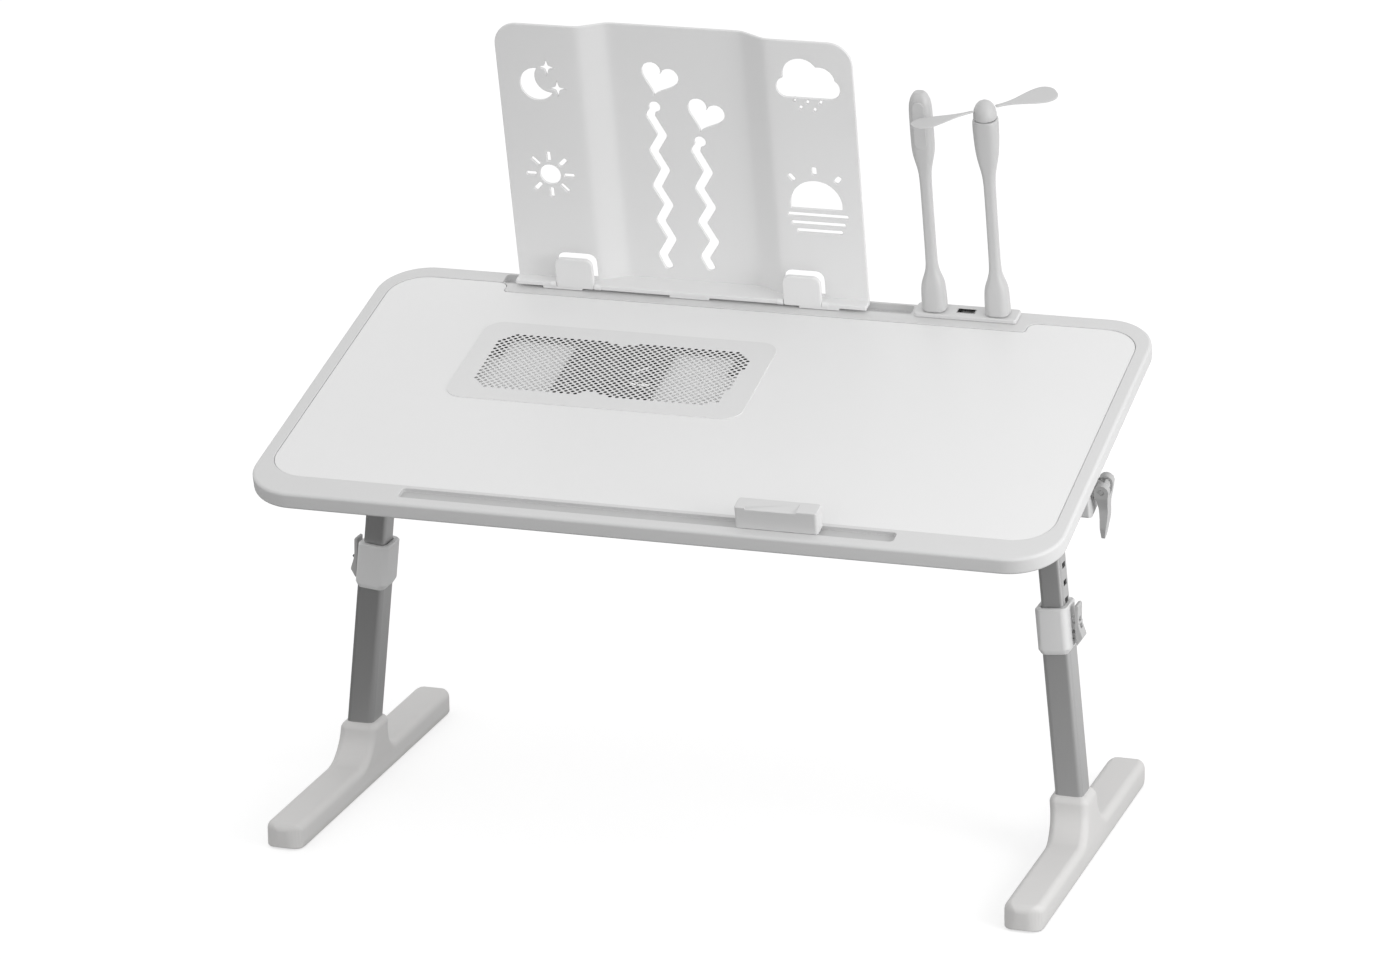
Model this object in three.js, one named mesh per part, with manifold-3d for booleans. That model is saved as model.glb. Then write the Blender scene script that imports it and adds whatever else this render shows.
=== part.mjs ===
// Folding laptop table: a tilting top on two telescopic legs that fold in under it, with a
// cooling fan behind a perforated cover, a book stand, a laptop stopper, and a lamp and a fan
// on sticks in a socket strip.
// Millimetres. The top is modelled in its own frame: x to the right, y from the front edge
// back along the surface, z square to it, with the front edge at y = 0 and the rim at z = 0.

import * as THREE from "three";
import { mergeVertices } from "three/addons/utils/BufferGeometryUtils.js";
import Module from "manifold-3d";

const wasm = await Module();
wasm.setup();

// Shared values
const clearance = 0.3; // gap between pieces that touch
const overrun = 2; // how far a cut runs past the face that it opens
const chordError = 0.3; // how far a facet may cut inside the curve that it follows
const widestFacet = Math.PI / 6; // largest turn between two facets of a curve
const weldDistance = 0.00001; // points nearer than this are one point

// Top
const topWidth = 600;
const topDepth = 330;
const halfTop = topWidth / 2;
const topTilt = 15.1; // degrees, back edge up
const rimHeight = 13;
const rimCornerRadius = 38;
const rimEdgeRound = 2.4;
const rimWall = 2.5;
const sideRimWidth = 10.5;
const frontRimDepth = 25.5;
const backRimDepth = 15.5;
const panelThickness = 9;
const panelSink = 0.4; // panel face below the rim
const panelCornerRadius = 28;
const panelLedge = 6;
const ribThickness = 2;
const ribPitch = 52;
const rearLandDepth = 13; // the rim is deeper by this much along the stand and the sockets
const rearLandLeft = -201;
const rearLandRight = 204;
const rearLandCornerRadius = 3;

// Slot for the stopper, along the front rim
const slotLeft = -181;
const slotRight = 184;
const slotFront = 8;
const slotWidth = 13.9;
const slotDepth = 6;
const slotCornerRadius = 3;
const slotFloor = 2.6;

// Laptop stopper
const stopperWidth = 60;
const stopperDepth = 16;
const stopperHeight = 13.5;
const stopperCentre = 100.5;
const stopperSetback = 1; // from the front of the slot
const stopperLean = 2.4; // the front face slopes back by this much
const stopperRound = 1.2;
const stopperTongueInset = 2;
const stopperHollowWall = 2;

// Groove for the book stand, along the back rim
const grooveLeft = -206;
const grooveRight = 114;
const grooveWidth = 12.5;
const grooveInset = 3.5; // from the back edge
const grooveFront = topDepth - grooveInset - grooveWidth;
const grooveDepth = 6;

// Perforated cover over the cooling fan
const coverWidth = 227;
const coverDepth = 109;
const coverCentreX = -83;
const coverInset = 127; // from the back edge to its middle
const coverCentreY = topDepth - coverInset;
const coverCornerRadius = 14;
const coverProud = 0.6; // above the panel face
const coverFlange = 1.2;
const coverPlugInset = 6;
const coverPlugDepth = 1.2;
const coverRound = 0.5;
const lobeWidth = 98; // the perforated field is two lobes side by side
const lobeDepth = 77;
const lobeChamfer = 10;
const holePitch = 17;
const holeHalfDiagonal = 3.9;
const holeSides = 4;

// Cooling fan
const coolerSize = 76;
const coolerHeight = 9.5;
const coolerCornerRadius = 5;
const coolerBore = 72;
const coolerStrutWidth = 3.2;
const coolerStrutHeight = 1.5;
const coolerStrutCount = 4;
const coolerBaseRadius = 13.5;
const coolerPostRadius = 2.4;
const coolerHubRadius = 14;
const coolerHubWall = 1.4;
const coolerBladeCount = 7;
const coolerBladeThickness = 1.2;
const coolerBladeTwist = 38; // degrees from flat at the root
const coolerBladeTwistTip = 24; // degrees from flat at the tip
const coolerBladeRootChord = 10;
const coolerBladeTipChord = 19;
const coolerBladeGap = 1.2; // from blade tip to bore
const trayWall = 1.6;
const trayFloorDepth = 6; // tray floor below the rim
const guardThickness = 1.4;
const guardRingWidth = 1.8;
const guardRingCount = 2;
const guardSpokeCount = 4;

// Socket strip at the back right
const hubCentreX = 156;
const hubInset = 11; // from the back edge to its middle
const hubCentreY = topDepth - hubInset;
const hubWidth = 78;
const hubDepth = 16.6;
const hubPlateHeight = 3.5;
const hubEdgeRound = 0.8;
const hubCornerRadius = 2.5;
const hubBodyInset = 2.6;
const hubBodyDepth = 11.5;
const portPitch = 24;
const portCentreX = 155.5;
const portOuterWidth = 14;
const portOuterDepth = 6.3;
const portWall = 0.5;
const portLength = 12.4;
const portTongueWidth = 10.4;
const portTongueThickness = 1.3;
const portTongueOffset = 0.9;
const portTongueLength = 8.4;

// Plugs of the lamp and the fan
const plugWidth = 12;
const plugDepth = 4.5;
const plugWall = 0.4;
const plugLength = 11;
const plugFillDepth = 1.8;

// Lamp and fan sticks: heights above the rim and section sizes
const stickBase = 3.9;
const stickBaseWidth = 18.6;
const stickBaseDepth = 15;
const stickShoulder = 18;
const stickNeckStart = 46;
const stickNeckEnd = 112;
const stickNeckWidth = 9;
const stickNeckDepth = 8.8;
const headStart = 140;
const lampHeadWidth = 16.8;
const lampHeadDepth = 13.4;
const lampTop = 187;
const lampLensWidth = 9;
const lampLensHeight = 38;
const lampLensDepth = 1.2;
const lampLensTop = 178;
const fanHeadWidth = 18;
const fanHeadDepth = 15.6;
const fanSeam = 166;
const stickSectionPoints = 12;
const stickSectionPower = 2.9;
const hubCapRadius = 7.8;
const hubCapSkirt = 4.5;
const hubCapRise = 14.2; // above the seam
const hubCapTop = fanSeam + hubCapRise;
const fanShaftRadius = 1;
const fanShaftRise = 6;
const bladeSpan = 112;
const bladeAngle = 36; // degrees from +x towards +y
const bladePitch = 11; // degrees
const bladeRise = 7.4; // above the seam
const bladeHeight = fanSeam + bladeRise;
const bladeThickness = 1.1;
const bladeRootWidth = 3.2;
const bladeTipWidth = 17;
const bladeStemLength = 4;

// Book stand
const standLean = 1.3; // degrees back from square
const standLeft = -193.5;
const standRight = 81;
const standHeight = 216;
const standSheet = 2.6;
const standInset = 11; // from the back edge
const standFront = topDepth - standInset; // front face of the outer panels
const standRecess = 9; // the middle panel stands this much further back
const standFoldLeft = -140;
const standFoldLeftEnd = -116.5;
const standFoldRightEnd = -16;
const standFoldRight = 10;
const standCornerRadius = 18;
const ledgeReach = 9.2; // out from the front face of the sheet
const ledgeFront = standFront - ledgeReach;
const ledgeBottom = 2;
const ledgeThickness = 3.5;
const keelDepth = 7;
const keelGap = 2; // from the front of the groove
const keelFront = grooveFront + keelGap;
const keelInset = 3.5;
const keelBottomGap = 0.5;
const lugWidth = 31;
const lugDepth = 4;
const lugCentres = [-156.5, -56.5, 44.5];

// Page clips on the ledge
const clipWidth = 33;
const clipCentres = [-143.8, 36.2];
const clipThickness = 4;
const clipTop = 29;
const clipCornerRadius = 7;
const clipPinRadius = 1.1;
const clipPinLength = 3;
const clipSetback = 1.7; // the pins stand this far behind the front of the ledge
const clipBossRadius = 2.5;

// Cut-outs of the stand: hearts on wavy strings, and weather signs
const heartWidth = 28;
const heartTilt = -19; // degrees
const heartPlaces = [
  [-69, 171],
  [-35.5, 143.8],
];
const knotRadius = 4;
const knotDrop = 21.8;
const knotShift = -7.2;
const waveStep = 14.1;
const waveReach = 4.6;
const waveWidth = 5.6;
const waveBottom = 15.5;
const waveDrop = 7;
const waveRound = 1.8;
const moonPlace = [-163.4, 166.6];
const moonRadius = 13.2;
const moonBiteShift = 8.4;
const moonBiteRadius = 11.4;
const starPlaces = [
  [-155, 180.8],
  [-147.8, 163.8],
];
const starRadius = 5.6;
const starWaist = 1.5;
const sunPlace = [-159.8, 92.4];
const sunRadius = 7.7;
const sunRayStart = 11.4;
const sunRayLength = 7.2;
const sunRayWidth = 2.4;
const sunRayCount = 8;
const cloudBase = 170.4;
const cloudLobes = [
  [30.4, 178.2, 7.8],
  [41.6, 187.4, 13.4],
  [55.4, 183.6, 11.6],
  [62.4, 178.6, 8.2],
];
const rainPlaces = [
  [35.6, 166.6],
  [45.4, 165.4],
  [55.4, 165.8],
  [40, 160.8],
  [50.6, 159.6],
];
const rainLength = 3.4;
const rainWidth = 1.5;
const rainTilt = 62; // degrees
const duskPlace = [46.5, 82.6];
const duskRadius = 19.4;
const duskBase = 79.2;
const duskRayStart = 24;
const duskRayLength = 6;
const duskRayWidth = 3.2;
const duskRayAngles = [50, 90, 130]; // degrees
const duskLineWidth = 3;
const duskLines = [
  [23, 69.4, 74.8],
  [26.4, 67.2, 67.9],
  [29.8, 64, 60.8],
];

// Leg bracket and fold knuckle, right side
const foldInset = 60; // from the side edge
const foldAxisX = halfTop - foldInset;
const foldAxisZ = -23;
const legAxisInset = 163.7; // from the back edge
const legAxisY = topDepth - legAxisInset; // tilt axis, along the top
const bracketReach = 14; // inward from the fold axis
const bracketLength = 56.6;
const bracketLeft = foldAxisX - bracketReach;
const bracketRight = bracketLeft + bracketLength;
const bracketHalfDepth = 28;
const bracketThickness = 3.4;
const bracketCornerRadius = 6;
const earThickness = 5;
const earRadius = 7.5;
const foldPinRadius = 2.6;
const foldPinHeadRadius = 4.2;
const foldPinHead = 1.6;
const barrelHalfLength = 17;
const barrelRadius = 6.2;
const webThickness = 15.2;
const tiltShift = 10.4; // outward from the fold axis
const tiltAxisX = foldAxisX + tiltShift;
const tiltAxisZ = -40;
const headInner = 13.2; // leg head, inward from the middle of the leg
const headOuter = 13.2;
const blockGap = 0.6; // from the leg head
const blockThickness = 21.8;
const blockInner = tiltAxisX + headOuter + blockGap;
const blockOuter = blockInner + blockThickness;
const blockHalfDepth = 14;
const blockReach = 24; // from the tilt axis to the foot of the block
const blockRound = 1.5;

// Tilt clamp: bolt, washer and cam lever
const boltRadius = 3.9;
const boltHeadRadius = 7;
const boltHeadThickness = 3;
const boltHeadSides = 6;
const boltEyeRadius = 4.4;
const boltEyeHalfWidth = 3.8;
const crossPinRadius = 2;
const washerRadius = 9.5;
const washerThickness = 1.7;
const leverHeadRadius = 5.5;
const leverGap = 0.4; // from the washer to the lever's head
const leverPivotX = blockOuter + clearance + washerThickness + leverHeadRadius + leverGap;
const leverHeadHalfWidth = 10;
const leverLength = 37; // from the pivot to the tip
const leverWaistHalfWidth = 5;
const leverPaddleHalfWidth = 7.8;
const leverTipThickness = 2.2;
const leverTipShift = -2.5;

// Leg, measured down the leg axis from the tilt axis
const legSplay = 5.8; // degrees outward at the foot
const headRadius = 10.2;
const headSocketHalfWidth = 11;
const headSocketHalfDepth = 13;
const headSocketStart = 4;
const headEnd = 23;
const innerTubeWidth = 17;
const innerTubeDepth = 20;
const innerTubeRadius = 3;
const innerTubeWall = 1.5;
const innerTubeStart = 5.5;
const innerTubeEnd = 170;
const outerTubeWidth = 21;
const outerTubeDepth = 24;
const outerTubeRadius = 4;
const outerTubeWall = 1.6;
const outerTubeStart = 100;
const outerTubeEnd = 260;
const lockSlotPitch = 13;
const lockSlotCount = 6;
const lockSlotWidth = 8;
const lockSlotHeight = 4;
const collarWidth = 28;
const collarDepth = 31.5;
const collarRadius = 6;
const collarStart = 91.7;
const collarEnd = 126.3;
const collarMouthGap = 1.5;
const collarChamfer = 2.2;
const collarChamferHeight = 4;

// Lock lever on the collar
const lockPivotDepth = 106; // down the leg
const lockPivotOut = 2.6; // out from the collar face
const lockLugHalfWidth = 2.4;
const lockLugHeight = 9;
const lockPinRadius = 1;
const lockPinHalfLength = 5.2;
const lockLeverHalfWidth = 6;
const lockToothDepth = 115; // down the leg
const lockToothHalfWidth = 3.4;
const lockToothHeight = 3.2;
const lockToothGap = 0.5;
const lockWindowMargin = 1.6;

// Foot
const footLength = 320;
const footWidth = 29.5;
const footHeight = 20;
const footCornerRadius = 11;
const footEdgeRound = 4;
const footLift = 1.4; // pads hold the foot this far above the floor
const footSocketTop = 49;
const footSocketDepth = 32;
const footSocketBlend = 25;
const footSocketRound = 4;
const footWall = 2.6;
const footPocketHeight = 12;
const footPocketCount = 3;
const padLength = 38;
const padInset = 3.6;
const padThickness = 1.1;
const padEndInset = 12;
const legReach = 28.6; // outward from the tilt axis to where the leg axis meets the floor
const legAxisFloorX = tiltAxisX + legReach;

const radians = THREE.MathUtils.degToRad;

// Places worked out from the sizes above
const splay = radians(legSplay);
const tilt = radians(topTilt);
const pivotHeight = (legAxisFloorX - tiltAxisX) / Math.tan(splay);
const floorDepth = pivotHeight / Math.cos(splay); // floor, down the leg axis
const panelBottom = -panelSink - panelThickness;
const ledgeTop = panelBottom - clearance;
const coverTop = coverProud - panelSink;
const coverBottom = coverTop - coverFlange - coverPlugDepth;
const coolerTop = clearance - coverBottom; // fan top below the rim
const innerSlotStart = lockToothDepth - (lockSlotCount - 1) * lockSlotPitch;
// Materials
function plastic(color, roughness) {
  return new THREE.MeshStandardMaterial({ color, roughness, metalness: 0 });
}

const rimPlastic = plastic(0xd6d7d7, 0.55);
const panelFinish = plastic(0xe9eaea, 0.5);
const standPlastic = plastic(0xd4d5d5, 0.5);
const jointPlastic = plastic(0xcfd1d0, 0.55);
const footPlastic = plastic(0xcdcccb, 0.6);
const leverPlastic = plastic(0xa9acab, 0.55);
const stickPlastic = plastic(0xc9cacb, 0.5);
const bladePlastic = plastic(0xd8d8d9, 0.55);
const darkPlastic = plastic(0x17181a, 0.5);
const lensPlastic = plastic(0xf1f1ec, 0.35);
const rubber = plastic(0x8b8c8c, 0.9);
const tubePaint = new THREE.MeshStandardMaterial({ color: 0x868a88, roughness: 0.45, metalness: 0.3 });
const steel = new THREE.MeshStandardMaterial({ color: 0xb9bcc0, roughness: 0.3, metalness: 1 });

// Outlines

// How many facets a turn of this radius takes.
function facetCount(radius, turn) {
  const ideal = 2 * Math.acos(1 - Math.min(chordError / radius, 1));
  return Math.max(1, Math.ceil(turn / Math.min(ideal, widestFacet)));
}

// A closed outline from corners [u, v, radius], with each corner turned into an arc.
function outline(corners) {
  const points = [];
  const count = corners.length;
  corners.forEach(([u, v, radius = 0], index) => {
    const corner = new THREE.Vector2(u, v);
    if (radius === 0) {
      points.push(corner);
      return;
    }
    const [pu, pv] = corners[(index + count - 1) % count];
    const [nu, nv] = corners[(index + 1) % count];
    const back = new THREE.Vector2(pu, pv).sub(corner).normalize();
    const ahead = new THREE.Vector2(nu, nv).sub(corner).normalize();
    const half = Math.acos(THREE.MathUtils.clamp(back.dot(ahead), -1, 1)) / 2;
    const middle = back.clone().add(ahead).normalize();
    const centre = corner.clone().addScaledVector(middle, radius / Math.sin(half));
    const start = corner.clone().addScaledVector(back, radius / Math.tan(half)).sub(centre);
    const turn = Math.PI - 2 * half;
    const sign = Math.sign(back.cross(ahead)) * -1;
    const steps = facetCount(radius, turn);
    for (let step = 0; step <= steps; step += 1) {
      const point = start.clone().rotateAround(new THREE.Vector2(), (sign * turn * step) / steps);
      points.push(point.add(centre));
    }
  });
  return new THREE.Shape(points);
}

function rectangle(u0, u1, v0, v1, radius = 0) {
  return outline([
    [u0, v0, radius],
    [u1, v0, radius],
    [u1, v1, radius],
    [u0, v1, radius],
  ]);
}

function circle(u, v, radius, points = facetCount(radius, 2 * Math.PI)) {
  const ring = [];
  for (let index = 0; index < points; index += 1) {
    const angle = (2 * Math.PI * index) / points;
    ring.push(new THREE.Vector2(u + radius * Math.cos(angle), v + radius * Math.sin(angle)));
  }
  return new THREE.Shape(ring);
}

// A bar with square ends from one point along an angle.
function bar(u, v, angle, length, width) {
  const along = new THREE.Vector2(Math.cos(angle), Math.sin(angle));
  const across = new THREE.Vector2(-along.y, along.x).multiplyScalar(width / 2);
  const start = new THREE.Vector2(u, v);
  const end = start.clone().addScaledVector(along, length);
  return new THREE.Shape([
    start.clone().sub(across),
    end.clone().sub(across),
    end.clone().add(across),
    start.clone().add(across),
  ]);
}

// Solids

function solid(geometry) {
  const bare = geometry.clone();
  bare.deleteAttribute("normal");
  bare.deleteAttribute("uv");
  const welded = mergeVertices(bare, weldDistance);
  const mesh = new wasm.Mesh({
    numProp: 3,
    vertProperties: new Float32Array(welded.attributes.position.array),
    triVerts: new Uint32Array(welded.index.array),
  });
  return new wasm.Manifold(mesh);
}

// Extrudes an outline between two places on an axis. The outline is read as (x, y) for z,
// (y, z) for x and (x, z) for y.
function extruded(shape, from, to, axis = "z", round = 0, steps = 2) {
  const geometry = new THREE.ExtrudeGeometry(shape, {
    depth: to - from - 2 * round,
    bevelEnabled: round > 0,
    bevelThickness: round,
    bevelSize: round,
    bevelOffset: -round,
    bevelSegments: steps,
    steps: 1,
  });
  geometry.translate(0, 0, round);
  if (axis === "x") {
    geometry.rotateX(Math.PI / 2).rotateZ(Math.PI / 2).translate(from, 0, 0);
  } else if (axis === "y") {
    geometry.rotateX(Math.PI / 2).translate(0, to, 0);
  } else {
    geometry.translate(0, 0, from);
  }
  return geometry;
}

function prism(shape, from, to, axis, round, steps) {
  return solid(extruded(shape, from, to, axis, round, steps));
}

function box(x0, x1, y0, y1, z0, z1) {
  const geometry = new THREE.BoxGeometry(x1 - x0, y1 - y0, z1 - z0);
  geometry.translate((x0 + x1) / 2, (y0 + y1) / 2, (z0 + z1) / 2);
  return solid(geometry);
}

// A round bar along x, y or z between two places on that axis.
function rod(axis, u, v, radius, from, to) {
  return prism(circle(u, v, radius), from, to, axis);
}

// Joins rings of equal count into one closed skin with flat ends.
function loft(rings) {
  const count = rings[0].length;
  const positions = rings.flat().flatMap((point) => [point.x, point.y, point.z]);
  const faces = [];
  for (let ring = 0; ring + 1 < rings.length; ring += 1) {
    for (let index = 0; index < count; index += 1) {
      const a = ring * count + index;
      const b = ring * count + ((index + 1) % count);
      faces.push(a, b, b + count, a, b + count, a + count);
    }
  }
  const last = (rings.length - 1) * count;
  for (let index = 1; index + 1 < count; index += 1) {
    faces.push(0, index + 1, index);
    faces.push(last, last + index, last + index + 1);
  }
  const geometry = new THREE.BufferGeometry();
  geometry.setAttribute("position", new THREE.Float32BufferAttribute(positions, 3));
  geometry.setIndex(faces);
  return geometry;
}

function joined(first, ...others) {
  return others.reduce((sum, other) => sum.add(other), first);
}

function cut(first, ...others) {
  return others.reduce((rest, other) => rest.subtract(other), first);
}

// The mesh of a solid, on the side of the table that it belongs to.
function meshOf(name, shape, material, side = 1) {
  const data = shape.getMesh();
  const positions = new Float32Array(data.vertProperties);
  const faces = new Uint32Array(data.triVerts);
  if (side < 0) {
    for (let index = 0; index < positions.length; index += 3) {
      positions[index] *= -1;
    }
    for (let index = 0; index < faces.length; index += 3) {
      [faces[index], faces[index + 1]] = [faces[index + 1], faces[index]];
    }
  }
  const geometry = new THREE.BufferGeometry();
  geometry.setAttribute("position", new THREE.BufferAttribute(positions, 3));
  geometry.setIndex(new THREE.BufferAttribute(faces, 1));
  geometry.computeVertexNormals();
  const mesh = new THREE.Mesh(geometry, material);
  mesh.name = name;
  return mesh;
}

// Tabletop

// The panel's outline, grown or shrunk all round. The rear land steps into it.
function panelOutline(grow) {
  const side = halfTop - sideRimWidth + grow;
  const front = frontRimDepth - grow;
  const back = topDepth - backRimDepth + grow;
  const step = back - rearLandDepth;
  const round = panelCornerRadius + grow;
  const backRound = Math.min(round, side - (rearLandRight - grow) - rearLandCornerRadius);
  return outline([
    [-side, front, round],
    [side, front, round],
    [side, back, backRound],
    [rearLandRight - grow, back, rearLandCornerRadius],
    [rearLandRight - grow, step, rearLandCornerRadius],
    [rearLandLeft + grow, step, rearLandCornerRadius],
    [rearLandLeft + grow, back, rearLandCornerRadius],
    [-side, back, backRound],
  ]);
}

// Pockets in the rim's underside, with a rib left between each two.
function rimPockets(from, to, across0, across1, roof, alongX) {
  const count = Math.max(1, Math.round((to - from) / ribPitch));
  const pitch = (to - from) / count;
  const pockets = [];
  for (let index = 0; index < count; index += 1) {
    const start = from + index * pitch + ribThickness / 2;
    const end = start + pitch - ribThickness;
    const bottom = -rimHeight - overrun;
    pockets.push(
      alongX
        ? box(start, end, across0, across1, bottom, roof)
        : box(across0, across1, start, end, bottom, roof),
    );
  }
  return pockets;
}

function tabletopFrame() {
  const outer = rectangle(-halfTop, halfTop, 0, topDepth, rimCornerRadius);
  const body = prism(outer, -rimHeight, 0, "z", rimEdgeRound, 2);
  const seat = prism(panelOutline(clearance), ledgeTop, overrun, "z");
  const opening = prism(panelOutline(-panelLedge), -rimHeight - overrun, ledgeTop + overrun, "z");
  const slotBack = slotFront + slotWidth;
  const slot = prism(
    rectangle(slotLeft, slotRight, slotFront, slotBack, slotCornerRadius),
    -slotDepth,
    overrun,
    "z",
  );
  const grooveBack = grooveFront + grooveWidth;
  const groove = box(grooveLeft, grooveRight, grooveFront, grooveBack, -grooveDepth, overrun);
  const hubPocket = box(
    hubCentreX - hubWidth / 2 + hubBodyInset - clearance,
    hubCentreX + hubWidth / 2 - hubBodyInset + clearance,
    hubCentreY - hubDepth / 2 + hubBodyInset - clearance,
    hubCentreY + hubDepth / 2 - hubBodyInset + clearance,
    -rimHeight - overrun,
    overrun,
  );
  const straight = halfTop - rimCornerRadius;
  const frontRoof = -slotDepth - slotFloor;
  const rearRoof = -grooveDepth - slotFloor;
  const sideRoof = -rimWall;
  const sideOuter = halfTop - rimWall;
  const sideInner = halfTop - sideRimWidth + rimWall;
  const sideStart = rimCornerRadius + rimWall;
  const sideEnd = topDepth - rimCornerRadius - rimWall;
  const landFront = topDepth - backRimDepth - rearLandDepth;
  const grooveLandEnd = grooveRight - rimWall;
  return cut(
    body,
    seat,
    opening,
    slot,
    groove,
    hubPocket,
    ...rimPockets(-straight, straight, rimWall + rimEdgeRound, frontRimDepth - rimWall, frontRoof, true),
    ...rimPockets(sideStart, sideEnd, sideInner, sideOuter, sideRoof, false),
    ...rimPockets(sideStart, sideEnd, -sideOuter, -sideInner, sideRoof, false),
    ...rimPockets(
      rearLandLeft + rimWall,
      grooveLandEnd,
      landFront + rimWall,
      grooveBack,
      rearRoof,
      true,
    ),
  );
}

function coverRebate(grow) {
  return rectangle(
    coverCentreX - coverWidth / 2 - grow,
    coverCentreX + coverWidth / 2 + grow,
    coverCentreY - coverDepth / 2 - grow,
    coverCentreY + coverDepth / 2 + grow,
    coverCornerRadius + grow,
  );
}

function deskPanel() {
  const board = prism(panelOutline(0), panelBottom, -panelSink, "z");
  const rebateFloor = coverTop - coverFlange - clearance;
  const rebate = prism(coverRebate(clearance), rebateFloor, overrun, "z");
  const opening = prism(coverRebate(clearance - coverPlugInset), panelBottom - overrun, overrun, "z");
  return cut(board, rebate, opening);
}

// The places of the holes: a diagonal grid inside the two lobes.
function holePlaces() {
  const places = [];
  const half = holePitch / 2;
  const columns = Math.ceil(lobeWidth / half);
  const rows = Math.ceil(lobeDepth / 2 / half);
  for (let column = -columns; column <= columns; column += 1) {
    for (let row = -rows; row <= rows; row += 1) {
      const x = column * half;
      const y = row * half;
      const fromMiddle = Math.abs(Math.abs(x) - lobeWidth / 2);
      const insideWidth = lobeWidth / 2 - holeHalfDiagonal - fromMiddle;
      const insideDepth = lobeDepth / 2 - holeHalfDiagonal - Math.abs(y);
      const onGrid = (column + row) % 2 === 0;
      const inside = insideWidth >= 0 && insideDepth >= 0;
      if (onGrid && inside && insideWidth + insideDepth >= lobeChamfer) {
        places.push([coverCentreX + x, coverCentreY + y]);
      }
    }
  }
  return places;
}

function ventCover() {
  const top = coverTop;
  const flangeBottom = top - coverFlange;
  const plugBottom = coverBottom;
  const flange = prism(coverRebate(0), flangeBottom, top, "z", coverRound, 1);
  const plug = prism(coverRebate(-coverPlugInset), plugBottom, flangeBottom + coverFlange / 2, "z");
  const holes = holePlaces().map(([x, y]) =>
    prism(circle(x, y, holeHalfDiagonal, holeSides), plugBottom - overrun, top + overrun),
  );
  return cut(joined(flange, plug), joined(...holes));
}

// Cooling fan

function coolerTray() {
  const top = coverBottom - clearance;
  const bottom = -trayFloorDepth - trayWall;
  const wallInset = coverPlugInset + clearance;
  const shell = prism(coverRebate(-wallInset), bottom, top, "z");
  const inside = prism(coverRebate(-wallInset - trayWall), -trayFloorDepth, top + overrun, "z");
  const half = coolerSize / 2 + clearance;
  const fanOpening = prism(
    rectangle(
      coverCentreX - half,
      coverCentreX + half,
      coverCentreY - half,
      coverCentreY + half,
      coolerCornerRadius,
    ),
    bottom - overrun,
    top,
    "z",
  );
  return cut(shell, inside, fanOpening);
}

function coolerHousing() {
  const half = coolerSize / 2;
  const bottom = -coolerTop - coolerHeight;
  const square = rectangle(
    coverCentreX - half,
    coverCentreX + half,
    coverCentreY - half,
    coverCentreY + half,
    coolerCornerRadius,
  );
  const bore = circle(coverCentreX, coverCentreY, coolerBore / 2);
  const frame = cut(prism(square, bottom, -coolerTop), prism(bore, bottom - overrun, overrun));
  const base = rod("z", coverCentreX, coverCentreY, coolerBaseRadius, bottom, bottom + coolerStrutHeight);
  const postTop = -coolerTop - coolerHubWall - 2 * clearance;
  const post = rod("z", coverCentreX, coverCentreY, coolerPostRadius, bottom, postTop);
  const struts = [];
  for (let index = 0; index < coolerStrutCount; index += 1) {
    const angle = (2 * Math.PI * (index + 0.5)) / coolerStrutCount;
    const strut = bar(coverCentreX, coverCentreY, angle, coolerBore / 2 + clearance, coolerStrutWidth);
    struts.push(prism(strut, bottom, bottom + coolerStrutHeight));
  }
  return joined(frame, base, post, ...struts);
}

// One blade: a thin plate whose pitch falls from root to tip.
function coolerBlade() {
  const root = coolerHubRadius - coolerHubWall / 2;
  const tip = coolerBore / 2;
  const sections = 2;
  const rings = [];
  for (let index = 0; index <= sections; index += 1) {
    const share = index / sections;
    const radius = THREE.MathUtils.lerp(root, tip, share);
    const chord = THREE.MathUtils.lerp(coolerBladeRootChord, coolerBladeTipChord, share);
    const pitch = radians(THREE.MathUtils.lerp(coolerBladeTwist, coolerBladeTwistTip, share));
    const ring = [
      [-chord / 2, -coolerBladeThickness / 2],
      [chord / 2, -coolerBladeThickness / 2],
      [chord / 2, coolerBladeThickness / 2],
      [-chord / 2, coolerBladeThickness / 2],
    ].map(([along, up]) => {
      const y = along * Math.cos(pitch) - up * Math.sin(pitch);
      const z = along * Math.sin(pitch) + up * Math.cos(pitch);
      return new THREE.Vector3(radius, y, z);
    });
    rings.push(ring);
  }
  return loft(rings);
}

function coolerRotor() {
  const top = -coolerTop - clearance;
  const bottom = -coolerTop - coolerHeight + coolerStrutHeight + 2 * clearance;
  const cup = new THREE.LatheGeometry(
    [
      new THREE.Vector2(0, top),
      new THREE.Vector2(coolerHubRadius, top),
      new THREE.Vector2(coolerHubRadius, bottom),
      new THREE.Vector2(coolerHubRadius - coolerHubWall, bottom),
      new THREE.Vector2(coolerHubRadius - coolerHubWall, top - coolerHubWall),
      new THREE.Vector2(0, top - coolerHubWall),
    ].reverse(),
    facetCount(coolerHubRadius, 2 * Math.PI),
  );
  cup.rotateX(Math.PI / 2).translate(coverCentreX, coverCentreY, 0);
  const middle = (top + bottom) / 2;
  const blades = [];
  for (let index = 0; index < coolerBladeCount; index += 1) {
    const blade = coolerBlade();
    blade.rotateZ((2 * Math.PI * index) / coolerBladeCount);
    blade.translate(coverCentreX, coverCentreY, middle);
    blades.push(solid(blade));
  }
  const sweep = coolerBore / 2 - coolerBladeGap;
  const room = rod("z", coverCentreX, coverCentreY, sweep, bottom, top);
  const hollow = rod(
    "z",
    coverCentreX,
    coverCentreY,
    coolerHubRadius - coolerHubWall,
    bottom - overrun,
    top - coolerHubWall,
  );
  return joined(solid(cup), ...blades.map((blade) => cut(blade.intersect(room), hollow)));
}

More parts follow.
